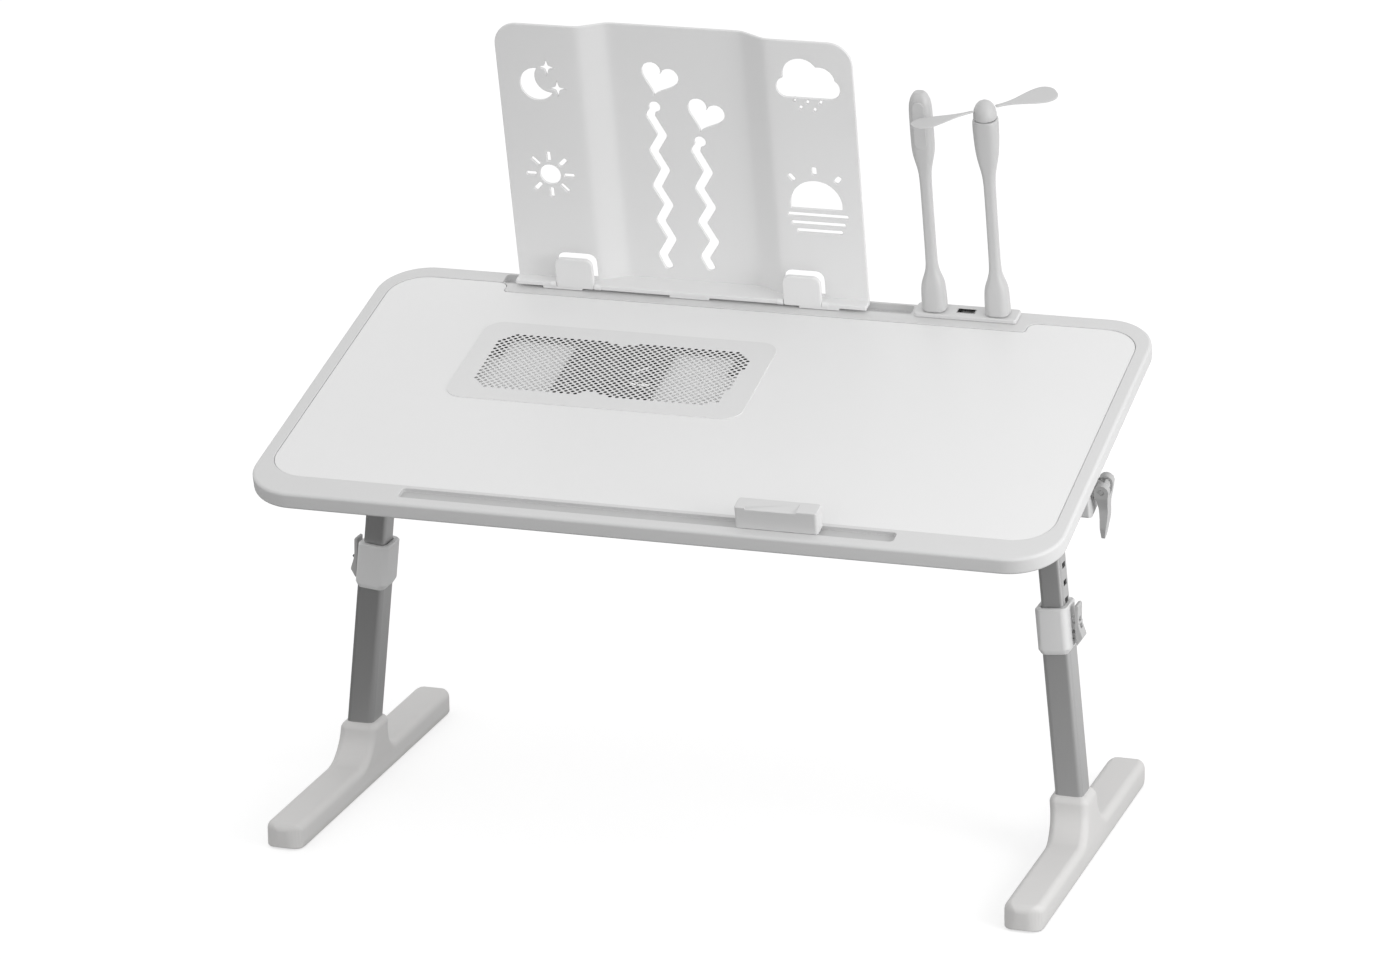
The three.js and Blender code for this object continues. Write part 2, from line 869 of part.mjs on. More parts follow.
// Wire guard under the fan: rings on spokes.
function coolerGuard() {
  const top = -coolerTop - coolerHeight - clearance;
  const bottom = top - guardThickness;
  const pieces = [];
  const reach = coolerBore / 2 + guardRingWidth;
  for (let index = 0; index < guardRingCount; index += 1) {
    const radius = reach - (index * reach) / guardRingCount;
    const disc = rod("z", coverCentreX, coverCentreY, radius, bottom, top);
    const inner = radius - guardRingWidth;
    pieces.push(cut(disc, rod("z", coverCentreX, coverCentreY, inner, bottom - overrun, overrun)));
  }
  for (let index = 0; index < guardSpokeCount; index += 1) {
    const angle = (2 * Math.PI * index) / guardSpokeCount;
    const spoke = bar(coverCentreX, coverCentreY, angle, reach - clearance, guardRingWidth);
    pieces.push(prism(spoke, bottom, top));
  }
  return joined(...pieces);
}

// Socket strip

function portCentre(index) {
  return portCentreX + index * portPitch;
}

function hubBase() {
  const left = hubCentreX - hubWidth / 2;
  const right = hubCentreX + hubWidth / 2;
  const front = hubCentreY - hubDepth / 2;
  const back = hubCentreY + hubDepth / 2;
  const plate = prism(
    rectangle(left, right, front, back, hubCornerRadius),
    clearance,
    hubPlateHeight,
    "z",
    hubEdgeRound,
    2,
  );
  const body = box(
    left + hubBodyInset,
    right - hubBodyInset,
    front + hubBodyInset,
    back - hubBodyInset,
    -hubBodyDepth,
    hubPlateHeight / 2,
  );
  const cuts = [];
  for (let index = -1; index <= 1; index += 1) {
    const x = portCentre(index);
    cuts.push(
      box(
        x - portOuterWidth / 2 - clearance,
        x + portOuterWidth / 2 + clearance,
        hubCentreY - portOuterDepth / 2 - clearance,
        hubCentreY + portOuterDepth / 2 + clearance,
        hubPlateHeight - portLength - clearance,
        hubPlateHeight + overrun,
      ),
    );
  }
  return cut(joined(plate, body), ...cuts);
}

// A metal socket shell, open at the top, with its contact tongue inside.
function usbPort(index) {
  const x = portCentre(index);
  const top = hubPlateHeight;
  const bottom = top - portLength;
  const halfWidth = portOuterWidth / 2;
  const halfDepth = portOuterDepth / 2;
  const front = hubCentreY - halfDepth;
  const back = hubCentreY + halfDepth;
  const shell = box(x - halfWidth, x + halfWidth, front, back, bottom, top);
  const inside = box(
    x - halfWidth + portWall,
    x + halfWidth - portWall,
    hubCentreY - halfDepth + portWall,
    hubCentreY + halfDepth - portWall,
    bottom + portWall,
    top + overrun,
  );
  const tongueY = hubCentreY + portTongueOffset;
  const tongue = box(
    x - portTongueWidth / 2,
    x + portTongueWidth / 2,
    tongueY - portTongueThickness / 2,
    tongueY + portTongueThickness / 2,
    bottom + portWall / 2,
    bottom + portWall + portTongueLength,
  );
  return joined(cut(shell, inside), tongue);
}

function usbPlug(index) {
  const x = portCentre(index);
  const top = stickBase - clearance;
  const bottom = top - plugLength;
  const halfWidth = plugWidth / 2;
  const halfDepth = plugDepth / 2;
  const front = hubCentreY - halfDepth;
  const back = hubCentreY + halfDepth;
  const shell = box(x - halfWidth, x + halfWidth, front, back, bottom, top);
  const hollow = box(
    x - halfWidth + plugWall,
    x + halfWidth - plugWall,
    hubCentreY - halfDepth + plugWall + plugFillDepth,
    hubCentreY + halfDepth - plugWall,
    bottom - overrun,
    top - plugWall,
  );
  return cut(shell, hollow);
}

// Lamp and fan sticks

// A rounded-square section at one height.
function stickRing(x, height, width, depth) {
  const ring = [];
  for (let index = 0; index < stickSectionPoints; index += 1) {
    const angle = (2 * Math.PI * (index + 0.5)) / stickSectionPoints;
    const c = Math.cos(angle);
    const s = Math.sin(angle);
    const u = (Math.sign(c) * Math.abs(c) ** (2 / stickSectionPower) * width) / 2;
    const v = (Math.sign(s) * Math.abs(s) ** (2 / stickSectionPower) * depth) / 2;
    ring.push(new THREE.Vector3(x + u, hubCentreY + v, height));
  }
  return ring;
}

// Sections of the part that both sticks share: the base, its shoulder and the slim neck.
function stickLower(x) {
  const blend = (share) => [
    THREE.MathUtils.lerp(stickBaseWidth, stickNeckWidth, share),
    THREE.MathUtils.lerp(stickBaseDepth, stickNeckDepth, share),
  ];
  const rise = stickNeckStart - stickShoulder;
  return [
    stickRing(x, stickBase, stickBaseWidth, stickBaseDepth),
    stickRing(x, stickShoulder, ...blend(0.04)),
    stickRing(x, stickShoulder + rise * 0.32, ...blend(0.22)),
    stickRing(x, stickShoulder + rise * 0.68, ...blend(0.76)),
    stickRing(x, stickNeckStart, ...blend(1)),
    stickRing(x, stickNeckEnd, ...blend(1)),
  ];
}

// Sections of the swelling from the neck to a head.
function stickHeadStart(x, width, depth) {
  const rise = headStart - stickNeckEnd;
  return [0.3, 0.7, 1].map((share, index) => {
    const swell = [0.14, 0.72, 0.97][index];
    return stickRing(
      x,
      stickNeckEnd + rise * share,
      THREE.MathUtils.lerp(stickNeckWidth, width, swell),
      THREE.MathUtils.lerp(stickNeckDepth, depth, swell),
    );
  });
}

function lampLensShape(x, grow) {
  const half = lampLensWidth / 2 + grow;
  return rectangle(x - half, x + half, lampLensTop - lampLensHeight - grow, lampLensTop + grow, half);
}

function lampStick() {
  const x = portCentre(-1);
  const dome = lampHeadWidth / 2;
  const rings = [...stickLower(x), ...stickHeadStart(x, lampHeadWidth, lampHeadDepth)];
  rings.push(stickRing(x, lampTop - dome, lampHeadWidth, lampHeadDepth));
  [0.35, 0.65, 0.88, 1].forEach((share) => {
    const shrink = Math.max(Math.sqrt(1 - share * share), 0.12);
    rings.push(
      stickRing(x, lampTop - dome * (1 - share), lampHeadWidth * shrink, lampHeadDepth * shrink),
    );
  });
  const face = hubCentreY - lampHeadDepth / 2;
  const recess = prism(lampLensShape(x, clearance), face - overrun, face + lampLensDepth, "y");
  return cut(solid(loft(rings)), recess);
}

function lampLens() {
  const face = hubCentreY - lampHeadDepth / 2;
  return prism(lampLensShape(portCentre(-1), 0), face, face + lampLensDepth - clearance, "y");
}

function fanStick() {
  const x = portCentre(1);
  const rings = [...stickLower(x), ...stickHeadStart(x, fanHeadWidth, fanHeadDepth)];
  rings.push(stickRing(x, (headStart + fanSeam) / 2, fanHeadWidth, fanHeadDepth));
  rings.push(stickRing(x, fanSeam, 2 * hubCapRadius, 2 * hubCapRadius));
  const shaft = rod("z", x, hubCentreY, fanShaftRadius, fanSeam - overrun, fanSeam + fanShaftRise);
  return joined(solid(loft(rings)), shaft);
}

function fanHub() {
  const x = portCentre(1);
  const bottom = fanSeam + clearance;
  const top = hubCapTop;
  const profile = [new THREE.Vector2(0, bottom), new THREE.Vector2(hubCapRadius, bottom)];
  const domeStart = bottom + hubCapSkirt;
  const steps = 6;
  for (let index = 0; index < steps; index += 1) {
    const angle = ((Math.PI / 2) * index) / steps;
    const rise = (top - domeStart) * Math.sin(angle);
    profile.push(new THREE.Vector2(hubCapRadius * Math.cos(angle), domeStart + rise));
  }
  profile.push(new THREE.Vector2(0, top));
  const cap = new THREE.LatheGeometry(profile, facetCount(hubCapRadius, 2 * Math.PI));
  cap.rotateX(Math.PI / 2).translate(x, hubCentreY, 0);
  const bore = rod(
    "z",
    x,
    hubCentreY,
    fanShaftRadius + clearance,
    bottom - overrun,
    fanSeam + fanShaftRise + clearance,
  );
  return cut(solid(cap), bore);
}

// A drop-shaped soft blade that leaves the hub on a narrow stem.
function fanBlade(direction) {
  const x = portCentre(1);
  const start = hubCapRadius + clearance;
  const length = bladeSpan / 2 - start;
  const upper = [];
  const steps = 12;
  for (let index = 0; index <= steps; index += 1) {
    const share = index / steps;
    const stem = bladeStemLength / length;
    const along = Math.max(0, (share - stem) / (1 - stem));
    const swell = Math.sin(Math.PI * along ** 1.75) * (1 - 0.12 * along);
    const half = bladeRootWidth / 2 + ((bladeTipWidth - bladeRootWidth) / 2) * swell;
    const close = Math.sqrt(Math.max(0, 1 - Math.max(0, (along - 0.86) / 0.14) ** 2));
    upper.push(new THREE.Vector2(start + length * share, half * Math.max(close, 0.2)));
  }
  const lower = upper.map((point) => new THREE.Vector2(point.x, -point.y)).reverse();
  const blade = extruded(new THREE.Shape([...lower, ...upper]), -bladeThickness / 2, bladeThickness / 2);
  blade.rotateX(radians(bladePitch));
  blade.rotateZ(radians(bladeAngle) + (direction < 0 ? Math.PI : 0));
  blade.translate(x, hubCentreY, bladeHeight);
  return cut(solid(blade), rod("z", x, hubCentreY, start, fanSeam, hubCapTop));
}

// Book stand, in a frame whose z is its own height and whose origin is on the rim

// The plan of the sheet: front faces at one y, with the middle panel set back.
function sheetLine(offset) {
  return [
    [standLeft, standFront + offset],
    [standFoldLeft, standFront + offset],
    [standFoldLeftEnd, standFront + standRecess + offset],
    [standFoldRightEnd, standFront + standRecess + offset],
    [standFoldRight, standFront + offset],
    [standRight, standFront + offset],
  ];
}

function heart(u, v, width, angle) {
  const points = [];
  const steps = 22;
  for (let index = 0; index < steps; index += 1) {
    const t = (2 * Math.PI * (index + 0.5)) / steps;
    const across = 16 * Math.sin(t) ** 3;
    const up = 13 * Math.cos(t) - 5 * Math.cos(2 * t) - 2 * Math.cos(3 * t) - Math.cos(4 * t);
    const point = new THREE.Vector2(across, up).multiplyScalar(width / 32);
    points.push(point.rotateAround(new THREE.Vector2(), radians(angle)).add(new THREE.Vector2(u, v)));
  }
  return new THREE.Shape(points);
}

// A wavy string below a knot, down to a common lower end.
function wave(u, top) {
  const count = Math.round((top - waveBottom) / waveStep);
  const step = (top - waveBottom) / count;
  const half = waveWidth / 2;
  const left = [];
  const right = [];
  for (let index = 0; index <= count; index += 1) {
    const swing = index % 2 === 0 ? -waveReach : waveReach;
    const end = index === 0 || index === count;
    const round = end ? 0 : waveRound;
    left.push([u + swing - half, top - index * step, round]);
    right.push([u + swing + half, top - index * step, round]);
  }
  return outline([...left, ...right.reverse()]);
}

function star(u, v) {
  const points = [];
  for (let index = 0; index < 8; index += 1) {
    const radius = index % 2 === 0 ? starRadius : starWaist;
    const angle = (Math.PI * index) / 4;
    points.push(new THREE.Vector2(u + radius * Math.cos(angle), v + radius * Math.sin(angle)));
  }
  return new THREE.Shape(points);
}

function rays(place, angles, start, length, width) {
  return angles.map((angle) => {
    const u = place[0] + start * Math.cos(angle);
    const v = place[1] + start * Math.sin(angle);
    return bar(u, v, angle, length, width);
  });
}

function standCutOuts() {
  const front = standFront - overrun;
  const back = standFront + standRecess + standSheet + overrun;
  const through = (shape) => prism(shape, front, back, "y");
  const cuts = [];
  heartPlaces.forEach(([u, v]) => {
    const knot = [u + knotShift, v - knotDrop];
    cuts.push(through(heart(u, v, heartWidth, heartTilt)));
    cuts.push(through(circle(knot[0], knot[1], knotRadius)));
    cuts.push(through(wave(knot[0] + waveReach / 3, knot[1] - waveDrop + waveReach / 2)));
  });
  const bite = moonBiteShift * Math.SQRT1_2;
  const moon = through(circle(moonPlace[0], moonPlace[1], moonRadius));
  cuts.push(cut(moon, through(circle(moonPlace[0] + bite, moonPlace[1] + bite, moonBiteRadius))));
  starPlaces.forEach(([u, v]) => cuts.push(through(star(u, v))));
  cuts.push(through(circle(sunPlace[0], sunPlace[1], sunRadius)));
  const sunAngles = [...Array(sunRayCount).keys()].map((index) => (2 * Math.PI * index) / sunRayCount);
  rays(sunPlace, sunAngles, sunRayStart, sunRayLength, sunRayWidth).forEach((ray) => {
    cuts.push(through(ray));
  });
  const [firstLobe] = cloudLobes;
  const lastLobe = cloudLobes[cloudLobes.length - 1];
  const cloudFloor = through(rectangle(firstLobe[0], lastLobe[0], cloudBase, firstLobe[1]));
  const cloud = joined(cloudFloor, ...cloudLobes.map((lobe) => through(circle(...lobe))));
  cuts.push(cloud);
  rainPlaces.forEach(([u, v]) => cuts.push(through(bar(u, v, radians(rainTilt), rainLength, rainWidth))));
  const dusk = through(circle(duskPlace[0], duskPlace[1], duskRadius));
  const below = through(
    rectangle(
      duskPlace[0] - duskRadius - overrun,
      duskPlace[0] + duskRadius + overrun,
      duskPlace[1] - duskRadius - overrun,
      duskBase,
    ),
  );
  cuts.push(cut(dusk, below));
  rays(duskPlace, duskRayAngles.map(radians), duskRayStart, duskRayLength, duskRayWidth).forEach((ray) => {
    cuts.push(through(ray));
  });
  duskLines.forEach(([left, right, v]) => {
    const half = duskLineWidth / 2;
    cuts.push(through(rectangle(left, right, v - half, v + half, half * 0.9)));
  });
  return cuts;
}

function clipPivot() {
  return { y: ledgeFront + clipSetback, z: ledgeBottom + ledgeThickness / 2 };
}

function bookStand() {
  const back = sheetLine(standSheet).reverse();
  const plan = outline([...sheetLine(0), ...back]);
  const face = outline([
    [standLeft, ledgeBottom],
    [standRight, ledgeBottom],
    [standRight, standHeight, standCornerRadius],
    [standLeft, standHeight, standCornerRadius],
  ]);
  const rear = standFront + standRecess + standSheet + overrun;
  const sheet = prism(plan, ledgeBottom, standHeight).intersect(
    prism(face, standFront - overrun, rear, "y"),
  );
  const ledgePlan = outline([[standLeft, ledgeFront], [standRight, ledgeFront], ...back]);
  const ledge = prism(ledgePlan, ledgeBottom, ledgeBottom + ledgeThickness);
  const keel = box(
    standLeft + keelInset,
    standRight - keelInset,
    keelFront,
    keelFront + keelDepth,
    -grooveDepth + keelBottomGap,
    ledgeBottom + ledgeThickness / 2,
  );
  const lugs = lugCentres.map((x) =>
    box(
      x - lugWidth / 2,
      x + lugWidth / 2,
      ledgeFront,
      ledgeFront + lugDepth,
      clearance,
      ledgeBottom + ledgeThickness / 2,
    ),
  );
  const pivot = clipPivot();
  const room = clipThickness / 2 + clearance;
  const notches = clipCentres.flatMap((x) => {
    const half = clipWidth / 2 + clearance;
    const pinEnd = half + clipPinLength + clearance;
    return [
      box(x - half, x + half, ledgeFront - overrun, pivot.y + room, -grooveDepth, pivot.z + room + overrun),
      rod("x", pivot.y, pivot.z, clipPinRadius + clearance, x - pinEnd, x + pinEnd),
    ];
  });
  const walls = clipCentres.flatMap((x) => {
    const reach = clipPinLength + clearance + standSheet / 2;
    return [-1, 1].map((side) => {
      const inner = x + side * (clipWidth / 2 + clearance);
      const outer = inner + side * reach;
      return rod("x", pivot.y, pivot.z, clipBossRadius, Math.min(inner, outer), Math.max(inner, outer));
    });
  });
  return cut(joined(sheet, ledge, keel, ...lugs, ...walls), ...notches, ...standCutOuts());
}

// A page clip: a rounded flap that turns on two stub pins at its foot.
function pageClip(centre) {
  const pivot = clipPivot();
  const half = clipThickness / 2;
  const halfWidth = clipWidth / 2;
  const flap = prism(
    outline([
      [centre - halfWidth, pivot.z],
      [centre + halfWidth, pivot.z],
      [centre + halfWidth, clipTop, clipCornerRadius],
      [centre - halfWidth, clipTop, clipCornerRadius],
    ]),
    pivot.y - half,
    pivot.y + half,
    "y",
  );
  const foot = rod("x", pivot.y, pivot.z, half, centre - halfWidth, centre + halfWidth);
  const pinEnd = halfWidth + clipPinLength;
  const pins = rod("x", pivot.y, pivot.z, clipPinRadius, centre - pinEnd, centre + pinEnd);
  return joined(flap, foot, pins);
}

// Stopper

function laptopStopper() {
  const half = stopperWidth / 2;
  const front = slotFront + stopperSetback;
  const side = outline([
    [front, clearance],
    [front + stopperDepth, clearance],
    [front + stopperDepth, stopperHeight, stopperRound],
    [front + stopperLean, stopperHeight, stopperRound],
  ]);
  const block = prism(side, stopperCentre - half, stopperCentre + half, "x", stopperRound / 2, 1);
  const tongue = box(
    stopperCentre - half + stopperTongueInset,
    stopperCentre + half - stopperTongueInset,
    slotFront + clearance,
    slotFront + slotWidth - clearance,
    -slotDepth + clearance,
    stopperHeight / 4,
  );
  const hollow = box(
    stopperCentre - half + stopperTongueInset + stopperHollowWall,
    stopperCentre + half - stopperTongueInset - stopperHollowWall,
    slotFront + clearance + stopperHollowWall + stopperSetback + stopperLean,
    slotFront + slotWidth - clearance - stopperHollowWall,
    -slotDepth - overrun,
    stopperHeight - stopperHollowWall,
  );
  return cut(joined(block, tongue), hollow);
}

// Leg mount, right side, in the frame of the top

function legBracket() {
  const top = ledgeTop;
  const plateBottom = top - bracketThickness;
  const plate = prism(
    rectangle(
      bracketLeft,
      bracketRight,
      legAxisY - bracketHalfDepth,
      legAxisY + bracketHalfDepth,
      bracketCornerRadius,
    ),
    plateBottom,
    top,
  );
  const ears = [-1, 1].map((side) => {
    const inner = legAxisY + side * (barrelHalfLength + clearance);
    const outer = inner + side * earThickness;
    const flare = earRadius * 1.5;
    const shape = outline([
      [foldAxisX - flare, top - bracketThickness / 2],
      [foldAxisX - earRadius, foldAxisZ],
      [foldAxisX - earRadius, foldAxisZ - earRadius, earRadius * 0.98],
      [foldAxisX + earRadius, foldAxisZ - earRadius, earRadius * 0.98],
      [foldAxisX + earRadius, foldAxisZ],
      [foldAxisX + flare, top - bracketThickness / 2],
    ]);
    return prism(shape, Math.min(inner, outer), Math.max(inner, outer), "y");
  });
  const reach = bracketHalfDepth + overrun;
  const boreRadius = foldPinRadius + clearance;
  const bore = rod("y", foldAxisX, foldAxisZ, boreRadius, legAxisY - reach, legAxisY + reach);
  return cut(joined(plate, ...ears), bore);
}

function foldPin() {
  const reach = barrelHalfLength + clearance + earThickness + clearance;
  const shank = rod("y", foldAxisX, foldAxisZ, foldPinRadius, legAxisY - reach, legAxisY + reach);
  const headEnd = legAxisY - reach - foldPinHead;
  const head = rod("y", foldAxisX, foldAxisZ, foldPinHeadRadius, headEnd, legAxisY - reach);
  const farEnd = legAxisY + reach + foldPinHead;
  const clip = rod("y", foldAxisX, foldAxisZ, foldPinHeadRadius, legAxisY + reach, farEnd);
  return joined(shank, head, clip);
}

function foldKnuckle() {
  const top = ledgeTop - bracketThickness - clearance;
  const webBottom = top - webThickness;
  const barrel = rod(
    "y",
    foldAxisX,
    foldAxisZ,
    barrelRadius,
    legAxisY - barrelHalfLength,
    legAxisY + barrelHalfLength,
  );
  const web = box(
    foldAxisX,
    blockOuter - blockRound,
    legAxisY - blockHalfDepth,
    legAxisY + blockHalfDepth,
    webBottom,
    top,
  );
  const blockFoot = tiltAxisZ - blockReach;
  const side = outline([
    [legAxisY - blockHalfDepth, blockFoot, blockHalfDepth * 0.45],
    [legAxisY + blockHalfDepth, blockFoot, blockHalfDepth * 0.45],
    [legAxisY + blockHalfDepth, top, blockRound * 2],
    [legAxisY - blockHalfDepth, top, blockRound * 2],
  ]);
  const block = prism(side, blockInner, blockOuter, "x", blockRound, 2);
  const corner = rod("x", legAxisY, tiltAxisZ, blockReach, blockInner - overrun, blockOuter + overrun);
  const above = box(
    foldAxisX,
    blockOuter + overrun,
    legAxisY - blockHalfDepth - overrun,
    legAxisY + blockHalfDepth + overrun,
    tiltAxisZ,
    top + overrun,
  );
  const boltHole = rod(
    "x",
    legAxisY,
    tiltAxisZ,
    boltRadius + clearance,
    blockInner - overrun,
    blockOuter + overrun,
  );
  const pinHole = rod(
    "y",
    foldAxisX,
    foldAxisZ,
    foldPinRadius + clearance,
    legAxisY - barrelHalfLength - overrun,
    legAxisY + barrelHalfLength + overrun,
  );
  const shaped = block.intersect(joined(corner, above));
  return cut(joined(barrel, web, shaped), boltHole, pinHole);
}

// Tilt clamp, right side, in the frame of the top

function tiltBolt() {
  const headFace = tiltAxisX - headInner - clearance;
  const shaft = rod("x", legAxisY, tiltAxisZ, boltRadius, headFace - overrun / 2, leverPivotX);
  const hexagon = circle(legAxisY, tiltAxisZ, boltHeadRadius, boltHeadSides);
  const head = prism(hexagon, headFace - boltHeadThickness, headFace, "x");
  const eye = rod(
    "y",
    leverPivotX,
    tiltAxisZ,
    boltEyeRadius,
    legAxisY - boltEyeHalfWidth,
    legAxisY + boltEyeHalfWidth,
  );
  const beyond = box(
    leverPivotX,
    leverPivotX + boltRadius + overrun,
    legAxisY - boltRadius - overrun,
    legAxisY + boltRadius + overrun,
    tiltAxisZ - boltRadius - overrun,
    tiltAxisZ + boltRadius + overrun,
  );
  const hole = rod(
    "y",
    leverPivotX,
    tiltAxisZ,
    crossPinRadius + clearance,
    legAxisY - boltEyeHalfWidth - overrun,
    legAxisY + boltEyeHalfWidth + overrun,
  );
  const flats = box(
    leverPivotX - boltEyeRadius,
    leverPivotX + boltEyeRadius,
    legAxisY - boltEyeHalfWidth,
    legAxisY + boltEyeHalfWidth,
    tiltAxisZ - boltRadius,
    tiltAxisZ + boltRadius,
  );
  return cut(joined(head, cut(shaft, beyond), eye.intersect(joined(flats, eye))), hole);
}

function tiltWasher() {
  const inner = blockOuter + clearance;
  const disc = rod("x", legAxisY, tiltAxisZ, washerRadius, inner, inner + washerThickness);
  const hole = rod(
    "x",
    legAxisY,
    tiltAxisZ,
    boltRadius + clearance,
    inner - overrun,
    inner + washerThickness + overrun,
  );
  return cut(disc, hole);
}

function crossPin() {
  const half = leverHeadHalfWidth - clearance;
  return rod("y", leverPivotX, tiltAxisZ, crossPinRadius, legAxisY - half, legAxisY + half);
}

// The cam lever: its side profile crossed with its front profile.
function tiltLever() {
  const x = leverPivotX;
  const z = tiltAxisZ;
  const r = leverHeadRadius;
  const tip = z - leverLength;
  const side = outline([
    [x - r, z - r * 0.2],
    [x - r * 0.7, z - r * 1.5, r],
    [x - r * 0.35 + leverTipShift * 0.3, z - leverLength * 0.6, r * 4],
    [x + leverTipShift, tip],
    [x + leverTipShift + leverTipThickness, tip],
    [x + r * 0.5, z - leverLength * 0.62, r * 4],
    [x + r * 0.62, z - leverLength * 0.36, r],
    [x + r, z],
    [x, z + r, r * 0.9],
  ]);
  const w = leverHeadHalfWidth;
  const front = outline([
    [legAxisY - w, z + r + overrun],
    [legAxisY - w, z - r, r * 0.6],
    [legAxisY - leverWaistHalfWidth, z - leverLength * 0.42, r],
    [legAxisY - leverPaddleHalfWidth, z - leverLength * 0.74, r],
    [legAxisY - leverPaddleHalfWidth * 0.5, tip, leverPaddleHalfWidth * 0.4],
    [legAxisY + leverPaddleHalfWidth * 0.5, tip, leverPaddleHalfWidth * 0.4],
    [legAxisY + leverPaddleHalfWidth, z - leverLength * 0.74, r],
    [legAxisY + leverWaistHalfWidth, z - leverLength * 0.42, r],
    [legAxisY + w, z - r, r * 0.6],
    [legAxisY + w, z + r + overrun],
  ]);
  const arm = prism(side, legAxisY - w, legAxisY + w, "y").intersect(
    prism(front, x - 2 * r, x + 2 * r, "x"),
  );
  const head = rod("y", x, z, r, legAxisY - w, legAxisY + w);
  const forkHalf = boltEyeHalfWidth + clearance + (boltRadius - boltEyeHalfWidth);
  const fork = box(x - 2 * r, x + 2 * r, legAxisY - forkHalf, legAxisY + forkHalf, z - r, z + 2 * r);
  const hole = rod("y", x, z, crossPinRadius + clearance, legAxisY - w - overrun, legAxisY + w + overrun);
  return cut(joined(arm, head), fork, hole);
}

// Leg, right side: z runs up the leg axis from the tilt axis, x points outward

// The outline of a tube, grown or shrunk all round.
function tubeSection(width, depth, radius, grow) {
  return rectangle(
    -width / 2 - grow,
    width / 2 + grow,
    -depth / 2 - grow,
    depth / 2 + grow,
    Math.max(radius + grow, grow > 0 ? grow : radius / 2),
  );
}

// The top of the leg turns on the tilt bolt, so its bearing is square to the top and not splayed.
function legHead() {
  const bearing = rod("x", 0, 0, headRadius, -headInner, headOuter);
  const cheek = box(-headInner, headOuter, -headRadius, headRadius, -headSocketStart * 2, 0);
  const socket = solid(
    extruded(
      rectangle(
        -headSocketHalfWidth,
        headSocketHalfWidth,
        -headSocketHalfDepth,
        headSocketHalfDepth,
        innerTubeRadius,
      ),
      -headEnd,
      -headSocketStart,
      "z",
    ).rotateY(-splay),
  );
  const hole = rod("x", 0, 0, boltRadius + clearance, -headInner - overrun, headOuter + overrun);
  const tubeRoom = solid(
    extruded(
      tubeSection(innerTubeWidth, innerTubeDepth, innerTubeRadius, clearance),
      -headEnd - overrun,
      -innerTubeStart + clearance,
      "z",
    ).rotateY(-splay),
  );
  return cut(joined(bearing, cheek, socket), hole, tubeRoom);
}

function innerTube() {
  const outer = tubeSection(innerTubeWidth, innerTubeDepth, innerTubeRadius, 0);
  const inner = tubeSection(innerTubeWidth, innerTubeDepth, innerTubeRadius, -innerTubeWall);
  const tube = cut(
    prism(outer, -innerTubeEnd, -innerTubeStart),
    prism(inner, -innerTubeEnd - overrun, -innerTubeStart + overrun),
  );
  const slots = [];
  for (let index = 0; index < lockSlotCount; index += 1) {
    const middle = -innerSlotStart - index * lockSlotPitch;
    slots.push(
      box(
        0,
        innerTubeWidth,
        -lockSlotWidth / 2,
        lockSlotWidth / 2,
        middle - lockSlotHeight / 2,
        middle + lockSlotHeight / 2,
      ),
    );
  }
  return cut(tube, ...slots);
}

function toothWindow() {
  const half = lockToothHalfWidth + lockWindowMargin / 2;
  const rise = lockToothHeight / 2 + lockWindowMargin;
  return box(innerTubeWidth / 2, collarWidth, -half, half, -lockToothDepth - rise, -lockToothDepth + rise);
}

function outerTube() {
  const outer = tubeSection(outerTubeWidth, outerTubeDepth, outerTubeRadius, 0);
  const inner = tubeSection(outerTubeWidth, outerTubeDepth, outerTubeRadius, -outerTubeWall);
  const tube = cut(
    prism(outer, -outerTubeEnd, -outerTubeStart),
    prism(inner, -outerTubeEnd - overrun, -outerTubeStart + overrun),
  );
  return cut(tube, toothWindow());
}

function lockPivot() {
  return { x: collarWidth / 2 + lockPivotOut, z: -lockPivotDepth };
}

function collar() {
  const shell = prism(
    tubeSection(collarWidth, collarDepth, collarRadius, 0),
    -collarEnd,
    -collarStart,
    "z",
    1,
    1,
  );
  const taper = loft(
    [
      [-collarEnd, collarChamfer],
      [-collarEnd + collarChamferHeight, 0],
      [-collarStart + overrun, 0],
    ].map(([z, inset]) =>
      tubeSection(collarWidth, collarDepth, collarRadius, 0)
        .getPoints()
        .map((point) => {
          const shareX = 1 - (2 * inset) / collarWidth;
          const shareY = 1 - (2 * inset) / collarDepth;
          return new THREE.Vector3(point.x * shareX, point.y * shareY, z);
        }),
    ),
  );
  const seat = prism(
    tubeSection(outerTubeWidth, outerTubeDepth, outerTubeRadius, clearance),
    -collarEnd - overrun,
    -outerTubeStart + clearance,
  );
  const mouth = prism(
    tubeSection(innerTubeWidth, innerTubeDepth, innerTubeRadius, collarMouthGap),
    -collarEnd,
    -collarStart + overrun,
  );
  const pivot = lockPivot();
  const lugRadius = lockLugHeight / 2;
  const lugFace = collarWidth / 2 - collarMouthGap;
  const lugBlock = box(
    lugFace,
    pivot.x,
    -lockLugHalfWidth,
    lockLugHalfWidth,
    pivot.z - lugRadius,
    pivot.z + lugRadius,
  );
  const lugEnd = rod("y", pivot.x, pivot.z, lockPivotOut * 0.9, -lockLugHalfWidth, lockLugHalfWidth);
  const pinHole = rod(
    "y",
    pivot.x,
    pivot.z,
    lockPinRadius + clearance,
    -lockLugHalfWidth - overrun,
    lockLugHalfWidth + overrun,
  );
  const lugRound = rod("y", pivot.x - lockPivotOut, pivot.z, lugRadius, -2 * overrun, 2 * overrun);
  const lug = joined(lugBlock.intersect(lugRound), lugEnd);
  return cut(joined(shell.intersect(solid(taper)), lug), seat, mouth, toothWindow(), pinHole);
}

